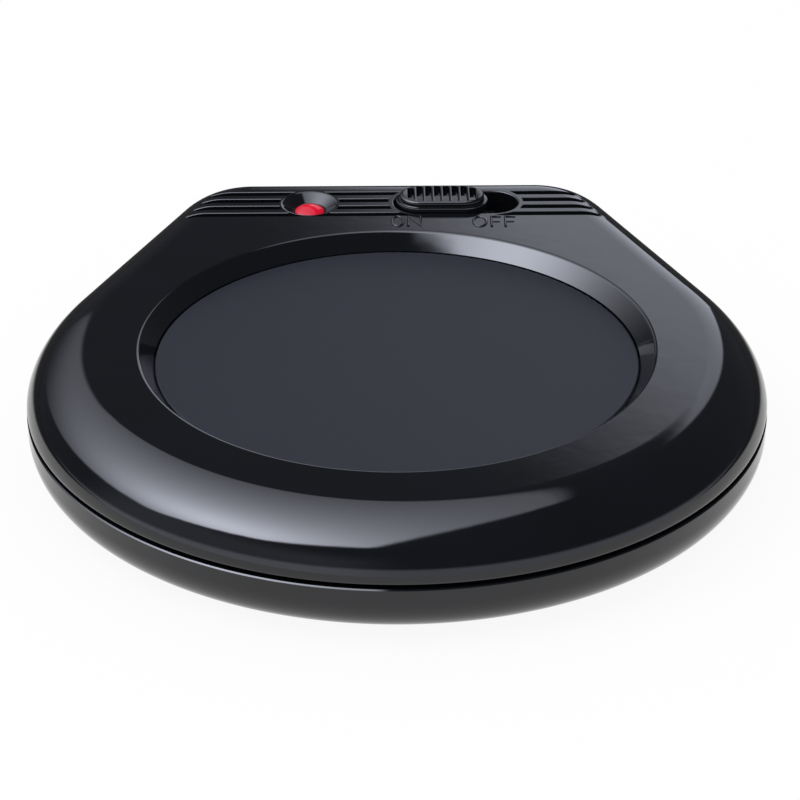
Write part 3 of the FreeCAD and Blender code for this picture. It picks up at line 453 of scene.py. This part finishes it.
def groove_cutter(index, stretch):
    """Cutter for one stretch of a groove."""
    middle = GROOVE_FIRST_Y + index * GROOVE_PITCH
    rings = []
    for step in range(GROOVE_STEPS + 1):
        share = step / GROOVE_STEPS
        front = groove_corners(stretch, middle, -1, share)
        rings.append(front[::-1] + groove_corners(stretch, middle, 1, share))
    return loft(f"groove_{index}_{stretch}", rings)


def groove_cutters():
    return join([groove_cutter(index, stretch) for index in range(GROOVE_COUNT)
                 for stretch in ("left", "middle", "right")], "grooves")


def slot_ring(grow, level):
    """Outline of the slot at a level, grown on every side."""
    return at_level(stadium(SLOT_X, SLOT_Y, SLOT_LENGTH + 2 * grow, SLOT_WIDTH + 2 * grow), level)


def slot_cutter():
    floor = TOP - SLOT_DEPTH
    rings = [slot_ring(-SLOT_FOOT_INSET, floor), slot_ring(0, floor + SLOT_FOOT_RISE)]
    lip = quarter(0, TOP - SLOT_BREAK, SLOT_BREAK, SLOT_BREAK, SLOT_BREAK_STEPS)
    rings += [slot_ring(inset, level) for inset, level in lip[::-1]]
    rings.append(slot_ring(SLOT_BREAK, TOP + CUT_PAST))
    return loft("slot_cutter", rings)


def rectangle(x, y, length, width):
    return [(x - length / 2, y - width / 2), (x + length / 2, y - width / 2),
            (x + length / 2, y + width / 2), (x - length / 2, y + width / 2)]


def cover_shell():
    """The hollow shell of the top cover, before anything is added or cut."""
    outer = rolled(0, PARTING, ROLL_WIDTH, ROLL_HEIGHT, ROLL_STEPS)
    profile = outer[:0:-1] + [(EDGE_BREAK_FOOT, PARTING + EDGE_BREAK), (EDGE_BREAK, PARTING)]
    profile.append((COVER_WALL, PARTING))
    across, rise = ROLL_WIDTH - COVER_WALL, ROLL_HEIGHT - COVER_WALL
    profile += rolled(COVER_WALL, PARTING, across, rise, ROLL_STEPS)[1:]
    return swept("cover_shell", profile)


def add_cover_bosses(cover, boss_foot):
    """The flange of the well, the walls of the slot and the boss under the dish."""
    under = TOP - COVER_WALL / 2
    inner = WELL_RADIUS - CUT_PAST
    flange = [(inner, FLANGE_UNDER), (FLANGE_RADIUS, FLANGE_UNDER), (FLANGE_RADIUS, under),
              (inner, under)]
    combine(cover, turned("well_flange", flange, closed=True), "UNION")
    slot_boss = loft("slot_boss", [slot_ring(SLOT_WALL, boss_foot), slot_ring(SLOT_WALL, under)])
    combine(cover, slot_boss, "UNION")
    lamp_boss = [(LAMP_BOSS_RADIUS, LAMP_BOSS_LEVEL), (LAMP_BOSS_RADIUS, under)]
    combine(cover, turned("lamp_boss", lamp_boss, LAMP_X, LAMP_Y, SMALL_TURN_STEPS), "UNION")


def dish_cutter():
    """Cutter for the lamp dish, with the bore and the seat of the lens below it."""
    floor = TOP - DISH_DEPTH
    profile = [(LENS_COUNTERBORE, LAMP_BOSS_LEVEL - CUT_PAST), (LENS_COUNTERBORE, LENS_SEAT),
               (LENS_BORE, LENS_SEAT), (LENS_BORE, floor)]
    profile += lip_profile(DISH_FLOOR_RADIUS, DISH_RADIUS, floor, DISH_BREAK, CUT_PAST / 2)
    return turned("dish_cutter", profile, LAMP_X, LAMP_Y, SMALL_TURN_STEPS)


def top_cover():
    cover = cover_shell()
    boss_foot = TOP - SLOT_DEPTH - SLOT_FLOOR_SHEET
    add_cover_bosses(cover, boss_foot)
    combine(cover, groove_cutters())
    well = [(WELL_RADIUS, FLANGE_UNDER - CUT_PAST)]
    well += lip_profile(WELL_RADIUS, LIP_RADIUS, PLATE_TOP, LIP_EDGE, CUT_PAST)
    combine(cover, turned("well_cutter", well))
    combine(cover, slot_cutter())
    slit = rectangle(SLOT_X, SLOT_Y, SLIT_LENGTH, SLIT_WIDTH)
    slit_ends = boss_foot - CUT_PAST, TOP - SLOT_DEPTH + CUT_PAST
    combine(cover, loft("slit_cutter", [at_level(slit, level) for level in slit_ends]))
    combine(cover, dish_cutter())
    combine(cover, gland_hole())
    smooth(cover)
    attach(cover, HOUSING)
    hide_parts("top_cover")
    return cover


# Base cover


def base_shell():
    """The hollow shell of the base cover with its tongue, before anything is added or cut."""
    roll = quarter(0, 0, BASE_ROLL, BASE_ROLL, ROLL_STEPS)
    profile = [(inset, BASE_LEVEL + BASE_ROLL - level) for inset, level in roll]
    profile += [(0, BASE_RIM - EDGE_BREAK), (EDGE_BREAK, BASE_RIM), (TONGUE_INSET, BASE_RIM),
                (TONGUE_INSET, TONGUE_LEVEL), (BASE_WALL, TONGUE_LEVEL)]
    hollow = BASE_ROLL - BASE_WALL
    inner = quarter(BASE_WALL, 0, hollow, hollow, ROLL_STEPS // 2)[::-1]
    profile += [(inset, BASE_FLOOR + hollow - level) for inset, level in inner]
    return swept("base_shell", profile)


def add_screw_wells(base):
    """Bosses with counterbores for the four housing screws."""
    boss_top = BASE_LEVEL + COUNTERBORE_DEPTH + SCREW_BOSS_SHEET
    well_top = BASE_LEVEL + COUNTERBORE_DEPTH
    boss = [(SCREW_BOSS_RADIUS, BASE_FLOOR - CUT_PAST), (SCREW_BOSS_RADIUS, boss_top)]
    bore = [(COUNTERBORE_RADIUS + COUNTERBORE_BREAK, BASE_LEVEL - COUNTERBORE_BREAK),
            (COUNTERBORE_RADIUS, BASE_LEVEL), (COUNTERBORE_RADIUS, well_top),
            (SCREW_HOLE_RADIUS, well_top), (SCREW_HOLE_RADIUS, boss_top + CUT_PAST)]
    bosses = [turned("screw_boss", boss, x, y, SMALL_TURN_STEPS) for x, y in SCREW_PLACES]
    combine(base, join(bosses, "screw_bosses"), "UNION")
    bores = [turned("screw_bore", bore, x, y, SMALL_TURN_STEPS) for x, y in SCREW_PLACES]
    combine(base, join(bores, "screw_bores"))


def foot_seat(label):
    """Cutter for the shallow seat of one rubber foot."""
    low, high = box_mm(f"rubber_foot_{label}")
    middle = (low + high) / 2
    radius = (high.x - low.x) / 2 + FOOT_GAP
    seat = [(radius + FOOT_SEAT_BREAK, BASE_LEVEL - FOOT_SEAT_BREAK),
            (radius, BASE_LEVEL + FOOT_SEAT_BREAK), (radius, BASE_LEVEL + FOOT_RECESS)]
    return turned(f"seat_{label}", seat, middle.x, middle.y - RING_Y, SMALL_TURN_STEPS)


def base_cover():
    base = base_shell()
    add_screw_wells(base)
    combine(base, gland_hole())
    labels = ("front_left", "front_right", "back_left", "back_right")
    combine(base, join([foot_seat(label) for label in labels], "seats"))
    smooth(base)
    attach(base, HOUSING)
    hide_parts("base_cover")
    return base


# Switch knob


def knob_ring(inset, level):
    length, width = KNOB_LENGTH - 2 * inset, KNOB_WIDTH - 2 * inset
    return at_level(stadium(KNOB_X, SLOT_Y, length, width), level)


def knob_blank():
    """The knob without its ribs: a rim, a step and a crown with a rounded edge."""
    third = KNOB_EDGE / 3
    profile = [(0, KNOB_FOOT), (0, KNOB_SHOULDER - KNOB_EDGE), (third, KNOB_SHOULDER - third),
               (KNOB_EDGE, KNOB_SHOULDER), (KNOB_STEP - KNOB_FILLET_IN, KNOB_SHOULDER),
               (KNOB_STEP, KNOB_SHOULDER + KNOB_FILLET_UP)]
    crown = quarter(KNOB_STEP, KNOB_TOP - KNOB_CROWN, KNOB_CROWN, KNOB_CROWN, KNOB_CROWN_STEPS)
    profile += crown[::-1]
    return loft("knob", [knob_ring(inset, level) for inset, level in profile])


def knob_groove(index):
    """Cutter for one groove between two ribs, with round ends and a broken upper edge."""
    x = (index - (KNOB_GROOVES - 1) / 2) * KNOB_RIB_PITCH
    straight = (KNOB_LENGTH - KNOB_WIDTH) / 2
    beyond = max(abs(x) + KNOB_GROOVE_WIDTH / 2 - straight, 0)
    reach = math.sqrt((KNOB_WIDTH / 2 - KNOB_STEP) ** 2 - beyond ** 2) - KNOB_GROOVE_END
    lip = KNOB_GROOVE_BREAK
    profile = [(0, KNOB_GROOVE_FLOOR), (0, KNOB_TOP - lip),
               (lip * KNOB_BREAK_OUT, KNOB_TOP - lip * KNOB_BREAK_DOWN),
               (lip, KNOB_TOP + KNOB_GROOVE_CLEAR), (lip, KNOB_TOP + CUT_PAST)]
    rings = []
    for grow, level in profile:
        width = KNOB_GROOVE_WIDTH + 2 * grow
        outline_points = stadium(0, 0, 2 * (reach + grow), width, KNOB_GROOVE_STEPS)
        turned_points = [(KNOB_X + x - across, SLOT_Y + along) for along, across in outline_points]
        rings.append(at_level(turned_points, level))
    return loft(f"knob_groove_{index}", rings)


def knob():
    item = knob_blank()
    grooves = [knob_groove(index) for index in range(KNOB_GROOVES)]
    combine(item, join(grooves, "knob_grooves"))
    stem = rectangle(KNOB_X, SLOT_Y, STEM_LENGTH, STEM_WIDTH)
    stem_ends = KNOB_STEM_FOOT, KNOB_FOOT + STEM_OVERLAP
    combine(item, loft("stem", [at_level(stem, level) for level in stem_ends]), "UNION")
    smooth(item)
    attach(item, SLIDER)
    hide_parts("switch_knob")
    return item


# Lamp lens


def lens():
    top, foot = lens_high.z, lens_low.z
    profile = []
    for step in range(LENS_CROWN_STEPS + 1):
        radius = LENS_AXIS + LENS_CROWN_REACH * step / LENS_CROWN_STEPS
        profile.append((radius, top - LENS_CROWN + math.sqrt(LENS_CROWN ** 2 - radius ** 2)))
    edge = profile[-1][1]
    profile += [(LENS_BARREL - LENS_EDGE, edge - LENS_EDGE_DROP), (LENS_BARREL, edge - LENS_EDGE_FOOT),
                (LENS_BARREL, LENS_SEAT), (LENS_RIM, LENS_SEAT), (LENS_RIM, foot), (LENS_HOLLOW, foot),
                (LENS_HOLLOW, foot + LENS_HOLLOW_WALL), (LENS_AXIS, foot + LENS_HOLLOW_TOP)]
    item = turned("lens", profile, LAMP_X, LAMP_Y, SMALL_TURN_STEPS)
    smooth(item)
    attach(item, HOUSING)
    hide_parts("lamp_lens")
    return item


# Raised ON and OFF in front of the switch

ROUND_TURNS = [step * math.tau / LETTER_ROUND_STEPS for step in range(LETTER_ROUND_STEPS)]
ROUND_LETTER = [((1 + math.cos(turn)) / 2, (1 + math.sin(turn)) / 2) for turn in ROUND_TURNS]
LETTER_STROKES = {
    "O": [(ROUND_LETTER, True)],
    "N": [([(0, 0), (0, 1), (1, 0), (1, 1)], False)],
    "F": [([(0, 0), (0, 1), (1, 1)], False), ([(0, 0.52), (0.85, 0.52)], False)],
}


def stroke(name, points, x, y, width, closed):
    """A rounded raised stroke through points given as shares of a letter's width and height."""
    curve = bpy.data.curves.new(name, "CURVE")
    curve.dimensions = "3D"
    spline = curve.splines.new("POLY")
    spline.points.add(len(points) - 1)
    for spot, (across, up) in zip(spline.points, points):
        spot.co = (*to_frame((x + across * width, y + up * LETTER_HEIGHT, TOP)), 1)
    spline.use_cyclic_u = closed
    curve.bevel_depth = LETTER_STROKE / 2 * MM
    curve.bevel_resolution = LETTER_BEVEL_STEPS
    curve.use_fill_caps = True
    item = bpy.data.objects.new(name, curve)
    bpy.context.scene.collection.objects.link(item)
    graph = bpy.context.evaluated_depsgraph_get()
    mesh = bpy.data.meshes.new_from_object(item.evaluated_get(graph))
    bpy.data.objects.remove(item)
    made = bpy.data.objects.new(name, mesh)
    bpy.context.scene.collection.objects.link(made)
    return made


def words():
    flatten = Matrix.Diagonal((1, 1, LETTER_RISE, 1))
    lift = Matrix.Translation((0, 0, (1 - LETTER_RISE) * TOP * MM))
    items = []
    for word, (y, letters) in WORDS.items():
        strokes = []
        for place, (letter, x, width) in enumerate(letters):
            for number, (points, closed) in enumerate(LETTER_STROKES[letter]):
                strokes.append(stroke(f"{word}_{place}_{number}", points, x, y, width, closed))
        item = join(strokes, f"word_{word}")
        item.data.transform(lift @ flatten)
        item.data.shade_smooth()
        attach(item, HOUSING)
        items.append(item)
    return items


# Materials, with the relief of a grain in metres

GRAIN_DEPTH = 0.0001
GLOSS_SPREAD = 0.15


def new_material(name):
    material = bpy.data.materials.new(name)
    material.use_nodes = True
    tree = material.node_tree
    return material, tree, tree.nodes["Principled BSDF"]


def add(tree, kind, **values):
    """A new node, with its sockets or its own settings given by name."""
    node = tree.nodes.new(kind)
    for key, setting in values.items():
        if key in node.inputs:
            node.inputs[key].default_value = setting
        else:
            setattr(node, key, setting)
    return node


def noise(tree, scale, detail=4.0, stretch=(1, 1, 1)):
    """Noise in object space, with its scale in features per metre."""
    place = add(tree, "ShaderNodeTexCoord")
    spread = add(tree, "ShaderNodeMapping")
    spread.inputs["Scale"].default_value = stretch
    made = add(tree, "ShaderNodeTexNoise", Scale=scale, Detail=detail)
    tree.links.new(place.outputs["Object"], spread.inputs["Vector"])
    tree.links.new(spread.outputs["Vector"], made.inputs["Vector"])
    return made.outputs["Fac"]


def vary(tree, source, low, high, target):
    """Drive a socket between two numbers with a noise."""
    made = add(tree, "ShaderNodeMapRange")
    made.inputs["To Min"].default_value = low
    made.inputs["To Max"].default_value = high
    tree.links.new(source, made.inputs["Value"])
    tree.links.new(made.outputs["Result"], target)


def two_tones(tree, source, dark, light, target):
    """Mix two colours by a noise into a socket."""
    mixed = add(tree, "ShaderNodeMix", data_type="RGBA")
    first, second = mix_colour_inputs(mixed)
    first.default_value = (*dark, 1)
    second.default_value = (*light, 1)
    tree.links.new(source, mixed.inputs[0])
    tree.links.new(mixed.outputs[2], target)


def bump(tree, source, strength, distance, shader):
    made = add(tree, "ShaderNodeBump")
    made.inputs["Strength"].default_value = strength
    made.inputs["Distance"].default_value = distance
    tree.links.new(source, made.inputs["Height"])
    tree.links.new(made.outputs["Normal"], shader.inputs["Normal"])


def mix_colour_inputs(node):
    """The two colour sockets of a mix node, which come after its number and vector sockets."""
    return node.inputs[6], node.inputs[7]


def plain_material(name, dark, light, roughness, grain, metallic=0.0, depth=0.2, stretch=(1, 1, 1)):
    """A surface with a fine grain in its colour, gloss and relief."""
    material, tree, shader = new_material(name)
    fine = noise(tree, grain, stretch=stretch)
    two_tones(tree, fine, dark, light, shader.inputs["Base Color"])
    smoothest, roughest = roughness * (1 - GLOSS_SPREAD), roughness * (1 + GLOSS_SPREAD)
    vary(tree, fine, smoothest, roughest, shader.inputs["Roughness"])
    shader.inputs["Metallic"].default_value = metallic
    bump(tree, fine, depth, GRAIN_DEPTH, shader)
    return material


def gloss_black():
    """Polished moulded black plastic with a faint waviness and handling haze."""
    material, tree, shader = new_material("polished_black")
    haze = noise(tree, scale=60, detail=3)
    dark, light = (0.0035, 0.0038, 0.005), (0.005, 0.0055, 0.008)
    two_tones(tree, haze, dark, light, shader.inputs["Base Color"])
    vary(tree, haze, 0.045, 0.07, shader.inputs["Roughness"])
    wave = noise(tree, scale=180, detail=2)
    bump(tree, wave, strength=0.06, distance=2 * GRAIN_DEPTH, shader=shader)
    shader.inputs["IOR"].default_value = 1.5
    return material


def coated_plate():
    """Fine matt non-stick coating on aluminium."""
    material, tree, shader = new_material("plate_coating")
    fleck = noise(tree, scale=5200, detail=2)
    dark, light = (0.006, 0.0068, 0.011), (0.011, 0.012, 0.019)
    two_tones(tree, fleck, dark, light, shader.inputs["Base Color"])
    wear = noise(tree, scale=45, detail=3)
    vary(tree, wear, 0.42, 0.5, shader.inputs["Roughness"])
    bump(tree, fleck, strength=0.12, distance=GRAIN_DEPTH / 2, shader=shader)
    shader.inputs["Specular IOR Level"].default_value = 0.22
    return material


def red_lens():
    """Red plastic over a lamp that glows."""
    material, tree, shader = new_material("lens_red")
    cloud = noise(tree, scale=500, detail=2)
    dark, light = (0.42, 0.002, 0.018), (0.62, 0.006, 0.03)
    two_tones(tree, cloud, dark, light, shader.inputs["Base Color"])
    vary(tree, cloud, 0.06, 0.1, shader.inputs["Roughness"])
    bump(tree, cloud, strength=0.05, distance=GRAIN_DEPTH, shader=shader)
    shader.inputs["Specular IOR Level"].default_value = 0.22
    shader.inputs["Emission Color"].default_value = (0.7, 0.01, 0.03, 1)
    shader.inputs["Emission Strength"].default_value = 0.18
    return material


# Each plain surface: its dark and light tone, roughness and grain, then what else sets it apart

PLAIN_MATERIALS = {
    "lamp_glass": ((0.7, 0.68, 0.66), (0.85, 0.84, 0.82), 0.08, 400, {}),
    "switch_plastic": ((0.03, 0.03, 0.03), (0.05, 0.05, 0.05), 0.5, 3000, {}),
    "mica": ((0.35, 0.3, 0.22), (0.6, 0.54, 0.42), 0.35, 250, {"depth": 0.4}),
    "foil": ((0.45, 0.45, 0.46), (0.6, 0.6, 0.6), 0.3, 900, {"metallic": 1.0, "stretch": (1, 12, 1)}),
    "zinc_steel": ((0.5, 0.5, 0.54), (0.68, 0.68, 0.7), 0.32, 1200, {"metallic": 1.0}),
    "shield_steel": ((0.55, 0.55, 0.56), (0.72, 0.72, 0.72), 0.36, 700, {"metallic": 1.0}),
    "fibre": ((0.7, 0.69, 0.65), (0.88, 0.87, 0.83), 0.95, 2500, {"depth": 0.8}),
    "brass": ((0.62, 0.44, 0.16), (0.78, 0.6, 0.28), 0.28, 800, {"metallic": 1.0}),
    "fuse_metal": ((0.6, 0.6, 0.62), (0.74, 0.74, 0.75), 0.25, 900, {"metallic": 1.0}),
    "sleeve": ((0.72, 0.7, 0.62), (0.9, 0.88, 0.8), 0.85, 3200, {"depth": 0.7}),
    "board": ((0.24, 0.15, 0.06), (0.34, 0.22, 0.1), 0.55, 1500, {}),
    "resistor": ((0.5, 0.38, 0.24), (0.62, 0.5, 0.34), 0.4, 900, {}),
    "silicone": ((0.36, 0.05, 0.03), (0.45, 0.08, 0.05), 0.6, 1500, {}),
    "black_rubber": ((0.012, 0.012, 0.012), (0.025, 0.025, 0.025), 0.7, 3000, {}),
    "gland_rubber": ((0.01, 0.01, 0.011), (0.02, 0.02, 0.021), 0.55, 2500, {}),
    "lead_insulation": ((0.66, 0.65, 0.62), (0.8, 0.79, 0.76), 0.5, 1200, {}),
}


def slot_materials():
    """One material for each slot of the record."""
    materials = {"cover_black": gloss_black(), "plate_coating": coated_plate(), "lens_red": red_lens()}
    for name, (dark, light, roughness, grain, extra) in PLAIN_MATERIALS.items():
        materials[name] = plain_material(name, dark, light, roughness, grain, **extra)
    return materials


def dress(item, material):
    item.data.materials.clear()
    item.data.materials.append(material)


def dress_nodes(materials):
    """Give every node of the frame the material of its slot."""
    for part in frame["record"]["subparts"]:
        node = frame["nodes"][part["node"]]
        material = materials[part["material_slot"]]
        for place in node.material_slots:
            place.material = material


# Studio, with the camera in millimetres from the centre of the plate, and the floor and lamp in metres

CAMERA_PLACE = (-5.126, -457.913, 259.746)
CAMERA_TARGET = (0.25, -19.4, 20.0)
CAMERA_LENS = 144.0
CAMERA_SENSOR = 36.0
FLOOR_SIZE = 12.0
FLOOR_TONE = (0.82, 0.82, 0.82, 1)
FLOOR_ROUGHNESS = 0.9
FLOOR_WHITE = 0.92
FLOOR_DIM_FROM = 0.03
FLOOR_DIM_TO = 0.07
FLOOR_DIM_LEVEL = 0.05
LAMP_PLACE = (-0.7, -0.35, 1.3)
LAMP_SIZE = 1.2
LAMP_POWER = 9.0
WHITE = (1, 1, 1, 1)
STUDIO_TINT = (0.92, 0.96, 1.1, 1)
ROOM_LEVEL = 0.9
DARK_LEVEL = 0.07
FLAT = 0.02

# Studio lights in a level plane over the object, where u runs right and v runs back
# A line is a factor for u, a factor for v and a reach, and an edge adds where light starts and is full

KEY_LEVEL = 12.0
KEY_FALL = 4.0
KEY_ALONG = (-0.471, 0.372, -0.2516)
KEY_ACROSS = (0.62, 0.785, 0.841)
KEY_EDGES = {
    "front right": ((1.0, -0.667, -0.34), 0.04, -0.04),
    "back right": ((1.0, 0.447, -0.537), 0.06, -0.06),
    "front": ((0.0, 1.0, 0.0), -0.74, -0.64),
    "front left": ((0.454, 1.0, 1.055), -0.03, 0.08),
    "left": ((1.93, 1.0, 3.77), -0.2, 0.3),
}
KEY_FAR = ((0.0, 1.0, 0.0), 1.62, 1.48)
KEY_FAR_TURN = (-0.16, -0.3)
WALL_LEVEL = 1.2
WALL_EDGES = {
    "right": ((1.0, -0.345, -0.27), 0.06, -0.06),
    "near": ((1.0, 0.562, 0.0), 1.05, 1.33),
}
WALL_TURN = (-0.05, 0.06)
WALL_FOOT = (-0.2, 0.03)
SWEEP_SLOPE = 0.24
SWEEP_EDGE = (0.15, 0.02)
SIDE_LEVEL = 0.32
SIDE_RIGHT = (0.1, -0.4)
SIDE_BACK = (0.3, -0.1)
SIDE_TOP = (0.75, 0.5)


def maths(tree, operation, *values):
    node = add(tree, "ShaderNodeMath", operation=operation)
    for socket, setting in zip(node.inputs, values):
        if isinstance(setting, (int, float)):
            socket.default_value = setting
        else:
            tree.links.new(setting, socket)
    return node.outputs[0]


def product(tree, first, *others):
    for other in others:
        first = maths(tree, "MULTIPLY", first, other)
    return first


def ramp(tree, source, start, end):
    """A smooth rise from 0 at start to 1 at end, which may lie below start."""
    node = add(tree, "ShaderNodeMapRange", interpolation_type="SMOOTHSTEP")
    tree.links.new(source, node.inputs["Value"])
    rising = start < end
    node.inputs["From Min"].default_value = min(start, end)
    node.inputs["From Max"].default_value = max(start, end)
    node.inputs["To Min"].default_value = 0.0 if rising else 1.0
    node.inputs["To Max"].default_value = 1.0 if rising else 0.0
    return node.outputs[0]


def line(tree, plan, across, deep, reach):
    """How far a direction lies past a straight line in the level plane."""
    u, v = plan
    sideways = maths(tree, "MULTIPLY_ADD", u, across, reach)
    return maths(tree, "ADD", sideways, maths(tree, "MULTIPLY", v, deep))


def lit_edge(tree, plan, terms, start, full):
    """A rise from dark to light across a straight line in the level plane."""
    return ramp(tree, line(tree, plan, *terms), start, full)


def background(tree, colour, strength):
    node = add(tree, "ShaderNodeBackground")
    node.inputs["Color"].default_value = colour
    if isinstance(strength, float):
        node.inputs["Strength"].default_value = strength
    else:
        tree.links.new(strength, node.inputs["Strength"])
    return node.outputs[0]


def mix_shaders(tree, share, first, second):
    node = add(tree, "ShaderNodeMixShader")
    for socket, source in zip(node.inputs, (share, first, second)):
        tree.links.new(source, socket)
    return node.outputs[0]


def axes(tree, kind):
    """The three numbers of a texture coordinate."""
    place = add(tree, "ShaderNodeTexCoord")
    split = add(tree, "ShaderNodeSeparateXYZ")
    tree.links.new(place.outputs[kind], split.inputs[0])
    return split.outputs


def camera():
    data = bpy.data.cameras.new("camera")
    data.lens = CAMERA_LENS
    data.sensor_width = CAMERA_SENSOR
    item = bpy.data.objects.new("camera", data)
    item.location = to_frame(CAMERA_PLACE)
    aim = to_frame(CAMERA_TARGET) - item.location
    item.rotation_euler = aim.to_track_quat("-Z", "Y").to_euler()
    bpy.context.scene.collection.objects.link(item)
    bpy.context.scene.camera = item


def floor():
    """A pale floor, white to the camera but for the object's shadow, and dim in reflections behind it."""
    bpy.ops.mesh.primitive_plane_add(size=FLOOR_SIZE)
    item = bpy.context.object
    item.name = "floor"
    material, tree, shader = new_material("floor")
    shader.inputs["Base Color"].default_value = FLOOR_TONE
    shader.inputs["Roughness"].default_value = FLOOR_ROUGHNESS
    shader.inputs["Specular IOR Level"].default_value = 0.0
    path = add(tree, "ShaderNodeLightPath")
    near = ramp(tree, axes(tree, "Object")["Y"], FLOOR_DIM_TO, FLOOR_DIM_FROM)
    level = maths(tree, "MULTIPLY_ADD", near, 1 - FLOOR_DIM_LEVEL, FLOOR_DIM_LEVEL)
    glow = add(tree, "ShaderNodeEmission")
    glow.inputs["Color"].default_value = WHITE
    bright = maths(tree, "MAXIMUM", path.outputs["Is Camera Ray"], level)
    tree.links.new(bright, glow.inputs["Strength"])
    seen, mirrored = path.outputs["Is Camera Ray"], path.outputs["Is Glossy Ray"]
    share = maths(tree, "MULTIPLY_ADD", seen, FLOOR_WHITE, mirrored)
    surface = mix_shaders(tree, share, shader.outputs[0], glow.outputs[0])
    tree.links.new(surface, tree.nodes["Material Output"].inputs["Surface"])
    dress(item, material)


def key_light(tree, plan, turn):
    """The large soft light overhead on the left, brightest at its front."""
    along = maths(tree, "POWER", line(tree, plan, *KEY_ALONG), 2.0)
    across = maths(tree, "POWER", line(tree, plan, *KEY_ACROSS), 2.0)
    spread = maths(tree, "ADD", along, across)
    level = maths(tree, "DIVIDE", KEY_LEVEL, maths(tree, "MULTIPLY_ADD", spread, KEY_FALL, 1.0))
    far_side = maths(tree, "MAXIMUM", lit_edge(tree, plan, *KEY_FAR), ramp(tree, turn, *KEY_FAR_TURN))
    return product(tree, level, far_side, *(lit_edge(tree, plan, *side) for side in KEY_EDGES.values()))


def back_wall(tree, plan, turn, z):
    """A pale wall behind the object on the right."""
    sides = [lit_edge(tree, plan, *side) for side in WALL_EDGES.values()]
    return product(tree, ramp(tree, turn, *WALL_TURN), ramp(tree, z, *WALL_FOOT), WALL_LEVEL, *sides)


def low_light(tree, x, y, z):
    """The bright sweep in front of the object, and a dim one on its left."""
    sweep = ramp(tree, maths(tree, "MULTIPLY_ADD", y, SWEEP_SLOPE, z), *SWEEP_EDGE)
    side = product(tree, ramp(tree, x, *SIDE_RIGHT), ramp(tree, y, *SIDE_BACK),
                   ramp(tree, z, *SIDE_TOP), SIDE_LEVEL)
    return maths(tree, "ADD", sweep, side)


def world():
    """White to the camera, a plain room to matt surfaces, and the studio lights in reflections."""
    made = bpy.data.worlds.new("studio")
    made.use_nodes = True
    bpy.context.scene.world = made
    tree = made.node_tree
    tree.nodes.clear()
    x, y, z = axes(tree, "Generated")
    height = maths(tree, "MAXIMUM", z, FLAT)
    plan = maths(tree, "DIVIDE", x, height), maths(tree, "DIVIDE", y, height)
    turn = maths(tree, "DIVIDE", x, maths(tree, "MAXIMUM", y, FLAT))
    light = maths(tree, "ADD", key_light(tree, plan, turn), DARK_LEVEL)
    light = maths(tree, "ADD", light, back_wall(tree, plan, turn, z))
    light = maths(tree, "ADD", light, low_light(tree, x, y, z))
    path = add(tree, "ShaderNodeLightPath")
    mirrored = maths(tree, "MAXIMUM", path.outputs["Is Glossy Ray"], path.outputs["Is Transmission Ray"])
    lights = background(tree, STUDIO_TINT, light)
    lit = mix_shaders(tree, mirrored, background(tree, WHITE, ROOM_LEVEL), lights)
    seen = mix_shaders(tree, path.outputs["Is Camera Ray"], lit, background(tree, WHITE, 1.0))
    output = add(tree, "ShaderNodeOutputWorld")
    tree.links.new(seen, output.inputs["Surface"])


def lamp():
    """Soft overhead light that shapes the matt surfaces and the shadow on the floor."""
    data = bpy.data.lights.new("soft_lamp", "AREA")
    data.shape = "DISK"
    data.size = LAMP_SIZE
    data.energy = LAMP_POWER
    item = bpy.data.objects.new("soft_lamp", data)
    item.location = LAMP_PLACE
    item.rotation_euler = (-item.location).to_track_quat("-Z", "Y").to_euler()
    item.visible_glossy = False
    bpy.context.scene.collection.objects.link(item)


def build():
    materials = slot_materials()
    dress_nodes(materials)
    black = materials["cover_black"]
    for item in (top_cover(), base_cover(), knob(), *words()):
        dress(item, black)
    dress(lens(), materials["lens_red"])
    camera()
    floor()
    world()
    lamp()
    bpy.context.scene.view_settings.view_transform = "Standard"


build()
